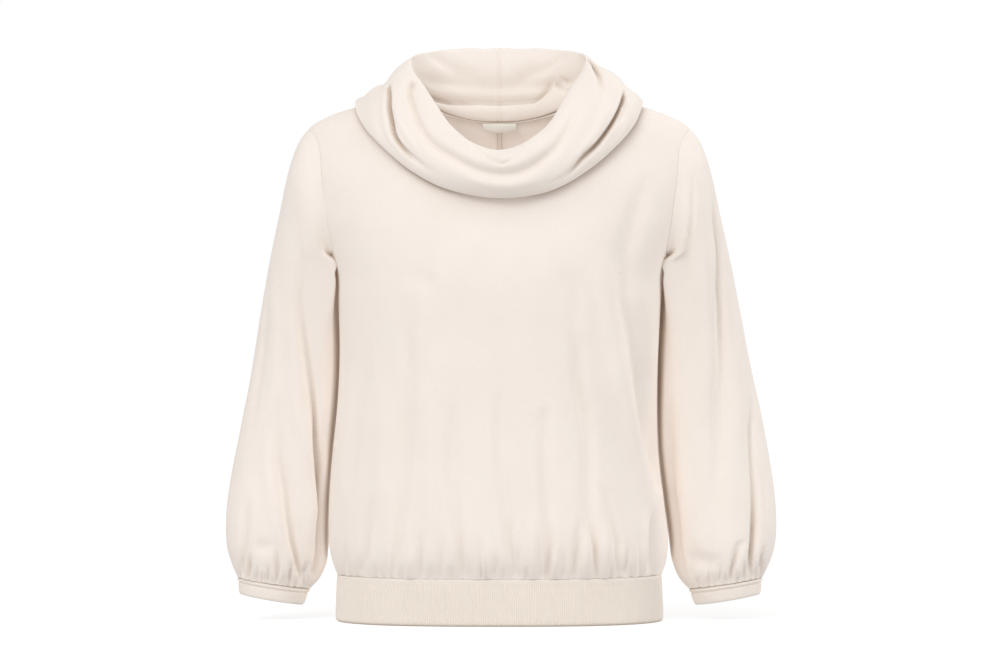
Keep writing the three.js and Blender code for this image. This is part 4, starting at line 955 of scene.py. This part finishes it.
def tube(t, run, turn, side):
    get = {k: reader(t, "run", k)(run) for k in t if k != "run"}
    c, s = -np.cos(turn), np.sin(turn)
    u = (c + 1) / 2
    return np.stack([
        side * mix(get["inX"], get["outX"] - (get["slim"] if side < 0 else 0), u),
        get["y"] - np.where(s > 0, get["front"], get["back"]) * s,
        mix(get["inZ"], get["outZ"], u),
    ], -1)


def cuff_gathers(side, length):
    """Gathers all round above a cuff, in [round, along] mm; the places along run down to length."""
    r = np.random.default_rng(5 if side > 0 else 9)
    lines, at, total = [], 0.0, 270.0
    while at < total - 6:
        at += r.uniform(5.5, 11.5)
        high = 9 + 34 * r.uniform() ** 2
        lean = r.uniform(-0.22, 0.22) * high
        deep = -r.uniform(1.0, 2.6)
        lines.append([(at, length, 1.5, deep), (at + lean * 0.4, length - high * 0.4, 2.2, deep * 0.9),
                      (at + lean, length - high, 4.0, 0.0)])
    return lines


def sleeve(name, node, side, creases):
    count = 2 * N_ARM
    turn = np.arange(count) / count * 2 * math.pi
    run = np.concatenate([np.linspace(0, 0.06, 22)[:-1], np.linspace(0.06, 0.88, 84)[:-1], np.linspace(0.88, 1, 44)])
    R, T = np.meshgrid(run, turn, indexing="ij")
    p = tube(SLEEVE, R, T, side)
    first = armhole_loop(side)
    n_first = out_of_body(first)
    along = np.roll(first, -1, 0) - np.roll(first, 1, 0)
    leave = unit(np.cross(along, n_first))
    leave *= np.where((leave[:, :1] * first[:, :1]) < 0, -1, 1)
    low = ease((UNDERARM_Z + 30 - first[:, 2]) / 25)
    seam = first + leave * SEAM + n_first * (1.2 * low)[:, None]
    b = np.clip(1 - R / 0.14, 0, 1) ** 2
    # over the shoulder the sleeve runs on from the body, and lower down it stands out sideways
    high = ease((first[:, 2:] + 140) / 50)
    lead = seam[None] + unit((0.55 + 0.6 * high) * leave + (1 - 0.8 * high) * [0.45 * side, 0, 0])[None] * (200 * R)[..., None]
    p = mix(p, lead, b[..., None])
    # soft cloth lies against the body and stays clear of it
    zone = np.where(p[..., 2] > UNDERARM_Z, 3.5, 0) * ease(R / 0.06)
    near = np.max([body_side(p[..., 1] + d, p[..., 2], side) for d in (-4, 0, 4)], axis=0)
    keep = near + CLEAR + zone * np.abs(np.sin(T))
    on = ease((UNDERARM_Z + 20 - p[..., 2]) / 24) * ease(R / 0.03)
    floor = keep - (1 - on) * 14
    # the front of the inner side laps over the curve of the body, so that no light shows between them
    lap = (30 * (bell((p[..., 1] + 44) / 19) + bell((p[..., 1] - 46) / 17)) * ease((1 + np.cos(T) * 1.0 - 0.75) / 0.5)
           * ease((-176 - p[..., 2]) / 16) * ease((p[..., 2] + 430) / 90))
    x = np.abs(p[..., 0]) - lap
    soft = np.where(x < floor + 6, floor + np.maximum(0, (x - floor + 6)) ** 2 / 24, x)
    x = np.where(x < floor - 6, floor, soft)
    p[..., 0] = np.where(R > 0, side * x, p[..., 0])
    p[0] = seam
    p[1:] = blur(p, 3, True)[1:]
    n = grid_normals(p, True)
    middle = p.mean(1, keepdims=True)
    if (n * (p - middle)).sum() < 0:
        n = -n
    # flat coordinates of the cloth: round and along
    ring = np.linalg.norm(np.roll(p, -1, 1) - p, axis=-1)
    around = np.concatenate([np.zeros((len(run), 1)), np.cumsum(ring, 1)], 1)
    girth = 330.0
    u = around / around[:, -1:] * girth
    down = np.concatenate([[0], np.cumsum(np.linalg.norm(np.diff(middle[:, 0], axis=0), axis=1))])
    length = down[-1]
    v = np.repeat(down[:, None], count + 1, 1)
    q = np.stack([around[:, :-1] / around[:, -1:] * around[:, -1:].mean(), v[:, :-1]], -1)
    wide = around[:, -1].mean()
    # the creases given as seen from the front are found on the cloth
    front = (p[..., 1] < middle[..., 1] + 6) & (R > 0.02)
    where, spots = seen(p)[front], q[front]
    lines = []
    for line in creases:
        found = []
        for x, z, half, out in line:
            k = np.argmin((where[:, 0] - x) ** 2 + (where[:, 1] - z) ** 2)
            found.append((spots[k, 0], spots[k, 1], half, out))
        lines.append(found)
    lift = 1.6 * fuller(crease_field(q, lines, wide))
    back = []
    for x0, v0, x1, v1, half, out in SLEEVE_BACK:
        back.append([(x0 * wide, v0 * length, half, 0), (mix(x0, x1, 0.35) * wide, mix(v0, v1, 0.35) * length, half, out),
                     (mix(x0, x1, 0.8) * wide, mix(v0, v1, 0.8) * length, half * 0.8, out), (x1 * wide, v1 * length, half * 0.6, out * 0.7)])
    lift += crease_field(q, back, wide)
    hidden = ease((np.sin(T) * -1 + 0.15) * 4)
    small = crease_field(q * [270.0 / wide, 1] , cuff_gathers(side, length), 270.0)
    lift += small * (0.6 + 0.5 * hidden)
    lift += 0.3 * ripple(q, 52 + side, 40, 3.0) * ease(R / 0.1) * ease((1 - R) / 0.06)
    lift *= ease(R / 0.03)
    lift = held(lift, length - v[:, :-1], 1.9, 0.5)
    lift -= 0.2 * bell(v[:, :-1] / 1.6)
    p = p + n * lift[..., None]
    # sewn edges turn in
    k = len(ALLOWANCE)
    top = [p[0] - n_first * a for a in ALLOWANCE[::-1]]
    foot_n = n[-1]
    foot = [p[-1] - foot_n * a * 0.7 for a in ALLOWANCE]
    p = np.concatenate([np.array(top), p, np.array(foot)])
    wn = grid_normals(p, True)
    if (wn[k:-k] * n).sum() < 0:
        wn = -wn
    uv = np.stack([u, v], -1)
    uv = np.concatenate([np.repeat(uv[:1], k, 0), uv, np.repeat(uv[-1:], k, 0)])
    return make(name, p, wn, CLOTH, KNIT, uv, loop=True, node=node, rows=(k, -k - 1))


def cuff(name, node, side):
    count = 2 * N_ARM
    turn = np.arange(count) / count * 2 * math.pi
    s = np.concatenate([np.linspace(0, 0.3, 15)[:-1], np.linspace(0.3, 1, 14)])
    R, T = np.meshgrid(s, turn, indexing="ij")
    p = tube(CUFF, R, T, side)
    n = grid_normals(p, True)
    middle = p.mean(1, keepdims=True)
    if (n * (p - middle)).sum() < 0:
        n = -n
    down = R * 17.6
    # a rounded bead where the band is sewn on, the stitch line under it, and the folded lower edge
    lift = 1.1 * bell((down - 1.9) / 1.7) - 0.75 * bell((down - 4.4) / 0.75) + 0.2 * bell((down - 9) / 5)
    lift -= 1.0 * bell((down - 17.6) / 1.5)
    lift += 0.22 * np.sin(T * 23 + 1.3 * np.sin(T * 5)) * bell((down - 1.5) / 3.0)
    lift += 0.25 * np.sin(T * 7 + side) * bell((down - 11) / 8)
    p = p + n * lift[..., None]
    top = [p[0] - n[0] * a for a in (2.6, 1.2)]
    foot = [p[-1] - n[-1] * a + np.array([0, 0, 0.25 * a]) for a in (0.9,)]
    p = np.concatenate([np.array(top), p, np.array(foot)])
    wn = grid_normals(p, True)
    if (wn[2:-1] * n).sum() < 0:
        wn = -wn
    ring = np.linalg.norm(np.roll(p, -1, 1) - p, axis=-1)
    around = np.concatenate([np.zeros((len(p), 1)), np.cumsum(ring, 1)], 1)
    dv = np.concatenate([[0, 1], 2 + s * 17.6, [20.4]])
    uv = np.stack([around, np.repeat(dv[:, None], count + 1, 1)], -1)
    return make(name, p, wn, CUFF_CLOTH, BAND, uv, loop=True, node=node, rows=(2,))


# ------------------------------------------------------------------ hem rib
def hem_rib(name, node, face):
    a = np.linspace(-1, 1, 4001)
    line = body_point(a, HEM_SEAM_Z, face)
    s = np.concatenate([[0], np.cumsum(np.linalg.norm(np.diff(line, axis=0), axis=1))])
    ribs = int(round(s[-1] / RIB_PITCH))
    pitch, per = s[-1] / ribs, 5
    columns = ribs * per
    at = np.linspace(0, s[-1], columns + 1)
    across = np.interp(at, s, a)
    t = np.array([0, 0.02, 0.045, 0.07, 0.095, 0.12, 0.16, 0.3, 0.45, 0.6, 0.75, 0.88, 0.95, 0.985, 1.0])
    base = body_point(across, HEM_SEAM_Z, face)
    p = np.repeat(base[None], len(t), 0)
    T = t[:, None]
    p[..., 0] *= mix(1, 1.006, T)
    p[..., 1] *= mix(1, 1.012, T)
    p[..., 2] = mix(HEM_SEAM_Z - SEAM / 2, HEM_Z, T)
    n = grid_normals(p, False)
    if (n * (p - [0, 0, 0]))[..., :2].sum() < 0:
        n = -n
    n[:, 0] = n[:, -1] = 0
    n[:, 0, 0], n[:, -1, 0] = -1, 1
    down = T * 49.0
    wave = np.cos(2 * math.pi * at / pitch)
    wave = np.sign(wave) * np.abs(wave) ** 0.75
    lift = 0.42 * wave[None] * mix(0.35, 1, ease((down - 2) / 4)) - 0.25
    lift = lift - 0.55 * bell((down - 0.0) / 1.0) - 0.5 * bell((down - 3.4) / 0.7) - 0.4 * bell((down - 5.6) / 0.7)
    lift = lift - 0.9 * bell((down - 49) / 1.4)
    lift += 0.5 * np.sin(at / 31 + face) * bell((down - 40) / 22) + 0.35 * np.sin(at / 13.7) * bell((down - 49) / 16)
    lift *= ease(np.minimum(at, s[-1] - at) / 3 + 0.2)
    p = p + n * lift[..., None]
    p[..., 1] = np.where((np.arange(columns + 1) == 0) | (np.arange(columns + 1) == columns), face * SEAM / 2, p[..., 1])
    k = 2
    turned = [p[0] - n[0] * d for d in (3.5, 1.4)]
    p = np.concatenate([np.array(turned), p])
    n2 = np.concatenate([n[:1], n[:1], n])
    n2[0:2, :, 2] = 0
    down_all = np.concatenate([[-2, -1], t * 49.0])
    i = np.clip(np.arange(-k, columns + 1 + k), 0, columns)
    inward = np.concatenate([[3.5, 1.4], np.zeros(columns + 1), [1.4, 3.5]])
    p = p[:, i] - n2[:, i] * inward[None, :, None]
    smooth = n2[:, i]
    rows_n = grid_normals(p, False)
    if (rows_n[k:, k:-k] * n).sum() < 0:
        rows_n = -rows_n
    wn = smooth.copy()
    wn[:2] = rows_n[:2]
    wn[:, :k], wn[:, -k:] = rows_n[:, :k], rows_n[:, -k:]
    uv = np.stack(np.broadcast_arrays(at[i][None, :] - s[-1] / 2, down_all[:, None]), -1)
    return make(name, p, unit(wn), RIB, RIBBED, uv, node=node, rows=(k,), columns=(k, -k - 1))


# ------------------------------------------------------------------ collar
collar_of = {k: reader(COLLAR, "turn", k) for k in COLLAR if k != "turn"}


def fallen(turn, t):
    g = {k: f(turn) for k, f in collar_of.items()}
    dr, dz = g["edgeR"] - g["rimR"], g["edgeZ"] - g["rimZ"]
    long = np.hypot(dr, dz)
    full = g["swell"] * np.power(np.clip(1 - np.power(np.abs(2 * t - 1), 2.4), 0, 1), 0.62)
    behind = ease((np.abs(turn) - 78) / 24)
    dip = (g["tuckDeep"] * bell((t - g["tuck"]) / 0.11) + g["creaseDeep"] * bell((t - g["crease"]) / 0.1)) * behind
    d = full - dip * ease(t / 0.12) * ease((1 - t) / 0.12)
    return g["rimR"] + dr * t - (dz / long) * d, g["rimZ"] + dz * t + (dr / long) * d


def standing(turn, t, seam_r, seam_z):
    g = {k: f(turn) for k, f in collar_of.items()}
    rise_r, rise_z = g["rimR"] - seam_r, g["rimZ"] - seam_z
    nr, nz = fallen(turn, np.full_like(turn, 0.1))
    pr = [seam_r, seam_r + rise_r * 0.2 - g["wall"], seam_r + rise_r * 0.58 - g["wall"], g["rimR"], nr]
    pz = [seam_z, seam_z + rise_z * 0.36, seam_z + rise_z * 0.76, g["rimZ"], nz]
    x = t * 3
    k = np.minimum(x.astype(int), 3)
    u = x - k

    def spline(p):
        p = np.stack(np.broadcast_arrays(*p, x)[:5], 0)
        idx = np.indices(x.shape)

        def pick(m):
            return p[(np.clip(m, 0, 4), *idx)]

        p0, p1, p2, p3 = pick(k - 1), pick(k), pick(k + 1), pick(k + 2)
        v0, v1 = (p2 - p0) / 2, (p3 - p1) / 2
        return (2 * p1 - 2 * p2 + v0 + v1) * u ** 3 + (-3 * p1 + 3 * p2 - 2 * v0 - v1) * u ** 2 + v0 * u + p1

    back = ease((np.abs(turn) - 95) / 50)
    roll = sum(out * bell((t - at) / wide) for at, wide, out in INSIDE_ROLLS)
    sag = 8.0 * bell((t - 0.1) / 0.09) * back
    return spline(pr) - roll * back * ease(t / 0.08), spline(pz) - sag * ease(t / 0.05)


def neck_loop():
    """The neckline seam from the middle of the front towards +X and round, closer set at the back seam."""
    front = np.linspace(0, 1, N_NECK + 1)
    fine = np.array([0, 0.35, 0.7, 1.0, 1.3, 1.6, 1.9, 2.3, 2.9, 3.8, 5.0, 6.6]) / 150.8
    rest = np.linspace(fine[-1], 1, N_NECK + 1 - len(fine) + 4)[1:]
    back = 1 - np.concatenate([fine, rest])  # from the middle (1) to the shoulder (0)
    parts = []
    for face, side, q in ((-1, 1, front[::-1][:-1]), (1, 1, back[::-1][:-1]), (1, -1, back[:-1]), (-1, -1, front[:-1])):
        wz = neck_seam(q, side, face)
        parts.append(on_body(wz[:, 0], wz[:, 1], face))
    return np.concatenate(parts)


def collar():
    seam = neck_loop()
    m = len(seam)
    n_seam = out_of_body(seam)
    along = np.roll(seam, -1, 0) - np.roll(seam, 1, 0)
    off = unit(np.cross(along, n_seam))
    away = np.stack([seam[:, 0], seam[:, 1] - COLLAR_Y, np.full(m, -60.0)], -1)
    off *= np.where((off * away).sum(1, keepdims=True) > 0, -1, 1)
    start = seam + off * SEAM - n_seam * CLOTH
    turn = np.degrees(np.arctan2(seam[:, 0], -(seam[:, 1] - COLLAR_Y)))
    seam_r = np.hypot(start[:, 0], start[:, 1] - COLLAR_Y)
    t_in = np.linspace(0, 1, 40)
    t_out = (1 - np.cos(np.linspace(0, 1, 66)[1:] * math.pi)) / 2
    t_out = 0.55 * t_out + 0.45 * np.linspace(0, 1, 66)[1:]
    T, A = np.meshgrid(t_in, turn, indexing="ij")
    r1, z1 = standing(A, T, seam_r[None], start[None, :, 2])
    T2, A2 = np.meshgrid(t_out, turn, indexing="ij")
    r2, z2 = fallen(A2, T2)
    # the lower edge is a fold: the cloth rolls under and runs back up
    g = {k: f(turn) for k, f in collar_of.items()}
    er, ez = g["edgeR"] - g["rimR"], g["edgeZ"] - g["rimZ"]
    long = np.hypot(er, ez)
    er, ez = er / long, ez / long
    mr, mz = -ez, er
    bend = np.linspace(0, 1, 9)[1:, None] * math.pi / 2
    rho = 4.2
    r3 = g["edgeR"] + rho * (-mr * np.sin(bend) - er * (1 - np.cos(bend)))
    z3 = g["edgeZ"] + rho * (-mz * np.sin(bend) - ez * (1 - np.cos(bend)))
    up = np.array([3.0, 7.0, 12.0, 18.0])[:, None]
    r4, z4 = r3[-1] - er * up, z3[-1] - ez * up
    r, z = np.concatenate([r1, r2, r3, r4]), np.concatenate([z1, z2, z3, z4])
    # the table's dips make room for rounder folds once the section is eased
    a = np.radians(turn)[None]
    p = np.stack([r * np.sin(a), COLLAR_Y - r * np.cos(a), z], -1)
    ni, no = len(t_in), len(t_out)
    p[0] = start
    p[1:] = blur(p, 6, True)[1:]
    p[1:ni - 2] = np.where((np.abs(turn) < 110)[None, :, None], clear_of_body(p[1:ni - 2], DOUBLED + 1.4), p[1:ni - 2])
    fall = slice(ni, ni + no)
    p[fall] = clear_of_body(p[fall], DOUBLED + CLEAR + 1.9)
    p[ni + no:] = clear_of_body(p[ni + no:], 1.9)
    p[1:] = blur(p, 3, True)[1:]
    n = grid_normals(p, True)
    if (n[ni:ni + no] * unit(p[ni:ni + no] - [0, COLLAR_Y, -20])).sum() < 0:
        n = -n
    # flat coordinates: round, at the mean girth, and up the section
    wide = 2 * math.pi * 112.0
    high = length_from(p, 0)
    section = high / high[-1] * high[-1].mean()
    q = np.stack([np.repeat((turn / 360 * wide)[None], len(p), 0), section], -1)
    lift = np.zeros(p.shape[:2])
    rows = np.arange(len(p))[:, None]
    for lines, mask in ((COLLAR_CREASES, (rows >= ni - 4) & (rows < ni + no) & (np.abs(turn) < 118)[None]),
                        (INSIDE_CREASES, (rows < ni - 1) & (rows > 0) & (np.abs(turn) > 80)[None])):
        where, spots, far = seen(p)[mask], q[mask], p[mask][:, 1]
        found = []
        for line in lines:
            path = []
            for x, zz, half, out in line:
                hidden = 0 * far if lines is INSIDE_CREASES else far
                spot = spots[nearest_seen(where, hidden, x, zz)].copy()
                if path and abs(spot[0] - path[-1][0]) > wide / 2:
                    spot[0] += wide * np.sign(path[-1][0])
                path.append((spot[0], spot[1], half, out))
            found.append(path)
        part = crease_field(q, found, wide)
        if lines is INSIDE_CREASES:
            part = part * np.where(rows < ni + 2, ease((np.abs(turn) - 92) / 24)[None], 0)
        lift += part
    lift += 0.35 * ripple(q, 88, 60, 1.0) * ease((section - 6) / 20)
    # the back seam: two fine lines of the joined edges
    from_back = np.abs(np.abs(p[..., 0]))
    at_back = (np.abs(turn) > 150)[None] & (rows < ni + no)
    seam_line = -0.55 * bell((from_back - 1.35) / 0.42) + 0.25 * bell(from_back / 0.9) - 0.25 * bell((from_back - 3.4) / 1.8)
    lift += np.where(at_back, seam_line, 0)
    lift *= ease(section / 3.0)
    p = p + n * lift[..., None]
    over = p[fall]
    p[fall] = clear_of_body(over, DOUBLED + 2.2)
    # sewn edge, turned down inside the neckline
    top = [p[0] - off * d + n_seam * 0 for d in (4.5, 2.0)]
    p = np.concatenate([np.array(top), p])
    wn = grid_normals(p, True)
    if (wn[2:] * n).sum() < 0:
        wn = -wn
    total = round(wide / WALE) * WALE
    u = np.concatenate([turn, [360.0 + turn[0]]])
    u = np.where(np.arange(m + 1) > 0, np.where(u < turn[0] - 1e-9, u + 360, u), u) / 360 * total
    v = np.concatenate([[-4.5, -2.0], np.zeros(len(high))])[:, None] + np.concatenate([np.zeros((2, m)), section])
    v = np.concatenate([v, v[:, :1]], 1)
    uv = np.stack([np.repeat(u[None], len(p), 0), v], -1)
    return make("collar_knit", p, wn, DOUBLED, KNIT, uv, loop=True, node="collar", rows=(2,))


# ------------------------------------------------------------------ label
def label():
    width, height, sag = 36.0, 12.0, 2.5
    back = float(depth(np.array(NECK_BACK_Z), 1))
    t, a = np.meshgrid(np.linspace(0, 1, 31), np.linspace(-1, 1, 61), indexing="ij")
    x = a * width / 2
    # it stands off the back, then turns in again below its fold
    upper, lower = t / 0.45 * math.pi / 2, (t - 0.45) / 0.55 * math.pi / 2
    out = np.where(t < 0.45, 3.9 * np.sin(upper), 0.5 + 3.4 * np.cos(lower))
    drop = np.where(t < 0.45, 3.0 * (1 - np.cos(upper)), 3.0 + 4.6 * np.sin(lower))
    y = back - 4.4 - out * (1 - 0.45 * a * a) - 0.25 * np.cos(a * 5 + 1) * t
    z = NECK_BACK_Z - 3.2 - drop - sag * (1 - a * a) * t - 0.4 * np.sin(a * 4 + 2) * t
    p = np.stack([x, y, z], -1)
    n = grid_normals(p, False)
    if n[..., 1].sum() > 0:
        n = -n
    stitch = -0.16 * (bell((np.abs(x) - 16.9) / 0.4) * (0.5 + 0.5 * np.sign(np.sin(t * 34))))
    p = p + n * stitch[..., None]
    uv = np.stack([x, -t * height], -1)
    return make("label_strip", p, n, 0.6, TAPE, uv, node="label")


# Long folds on the hidden side of a sleeve: round and along as shares, start and end, half width, out.
SLEEVE_BACK = [
    (0.58, 0.42, 0.6, 0.98, 11, -3.5),
    (0.68, 0.2, 0.7, 0.8, 14, -3),
    (0.8, 0.5, 0.79, 0.99, 10, -4),
    (0.9, 0.25, 0.88, 0.95, 13, -3.5),
    (0.74, 0.62, 0.745, 0.97, 8, 2),
]

# ------------------------------------------------------------------ the pieces
front = panel("front_knit", "front", -1, -1, 1)
back_left = panel("back_left_knit", "back_left", 1, 0, 1)
back_right = panel("back_right_knit", "back_right", 1, -1, 0)
sleeve_left = sleeve("sleeve_left_knit", "sleeve_left", 1, LEFT_SLEEVE_CREASES)
sleeve_right = sleeve("sleeve_right_knit", "sleeve_right", -1, RIGHT_SLEEVE_CREASES)
cuff_left = cuff("cuff_left_band", "cuff_left", 1)
cuff_right = cuff("cuff_right_band", "cuff_right", -1)
rib_front = hem_rib("hem_rib_front_knit", "hem_rib_front", -1)
rib_back = hem_rib("hem_rib_back_knit", "hem_rib_back", 1)
cowl = collar()
tape = label()

# ------------------------------------------------------------------ floor, light and camera
scene = bpy.context.scene
floor_mesh = bpy.data.meshes.new("floor")
floor_mesh.from_pydata([(-30, -30, 0), (30, -30, 0), (30, 30, 0), (-30, 30, 0)], [], [(0, 1, 2, 3)])
floor = bpy.data.objects.new("floor", floor_mesh)
floor.location = (0, 0, (HEM_Z - 1.2) * 0.001)
scene.collection.objects.link(floor)
paper = bpy.data.materials.new("floor_paper")
paper.use_nodes = True
shader = next(n for n in paper.node_tree.nodes if n.type == "BSDF_PRINCIPLED")
shader.inputs["Base Color"].default_value = (0.42, 0.42, 0.42, 1)
shader.inputs["Roughness"].default_value = 0.9
shader.inputs["Specular IOR Level"].default_value = 0.0
shader.inputs["Emission Color"].default_value = (1, 1, 1, 1)
shader.inputs["Emission Strength"].default_value = 0.64
floor_mesh.materials.append(paper)
floor.visible_diffuse = False

world = bpy.data.worlds.new("studio")
scene.world = world
world.use_nodes = True
back_light = world.node_tree.nodes["Background"]
back_light.inputs["Color"].default_value = (1.0, 1.0, 1.0, 1)
# white behind the garment, and a softer light on it
rays = world.node_tree.nodes.new("ShaderNodeLightPath")
bright = world.node_tree.nodes.new("ShaderNodeMapRange")
bright.inputs["To Min"].default_value = 0.58
bright.inputs["To Max"].default_value = 1.0
world.node_tree.links.new(rays.outputs["Is Camera Ray"], bright.inputs["Value"])
world.node_tree.links.new(bright.outputs["Result"], back_light.inputs["Strength"])


def lamp(name, towards, strength, spread, shadow):
    """Far soft light from a direction; one that casts no shadow stands for the light of white walls."""
    data = bpy.data.lights.new(name, "SUN")
    data.energy = strength
    data.angle = math.radians(spread)
    data.use_shadow = shadow
    o = bpy.data.objects.new(name, data)
    o.rotation_euler = Vector(towards).to_track_quat("Z", "Y").to_euler()
    scene.collection.objects.link(o)
    return o


lamp("key", (-0.42, -0.76, 0.46), 0.66, 22, True)
lamp("rear", (0.8, 0.5, 0.45), 0.9, 30, False)
lamp("bounce", (-0.1, -0.97, 0.2), 0.12, 40, False)
lamp("side", (-0.9, -0.35, 0.2), 0.36, 40, False)
lamp("top", (-0.25, -0.55, 0.8), 0.7, 50, True)
lamp("fill", (0.82, -0.45, 0.35), 0.72, 40, False)
lamp("floor_light", (0.1, -0.6, -0.8), 0.4, 60, False)
# light that comes through the thin knit, inside the neck
through = bpy.data.lights.new("through_knit", "POINT")
through.energy = 0.085
through.shadow_soft_size = 0.04
inside = bpy.data.objects.new("through_knit", through)
inside.location = (0, 0.01, -0.13)
inside.visible_camera = False
scene.collection.objects.link(inside)

camera = bpy.data.objects.new("camera", bpy.data.cameras.new("camera"))
scene.collection.objects.link(camera)
scene.camera = camera
camera.data.sensor_width = 36
camera.data.lens = 36 * EYE / (1008 * STEP)
camera.data.clip_start, camera.data.clip_end = 0.05, 60
camera.location = (EYE_X * 0.001, -EYE * 0.001, EYE_Z * 0.001)
camera.rotation_euler = (math.pi / 2, 0, 0)
scene.view_settings.view_transform = "Standard"
scene.view_settings.look = "None"
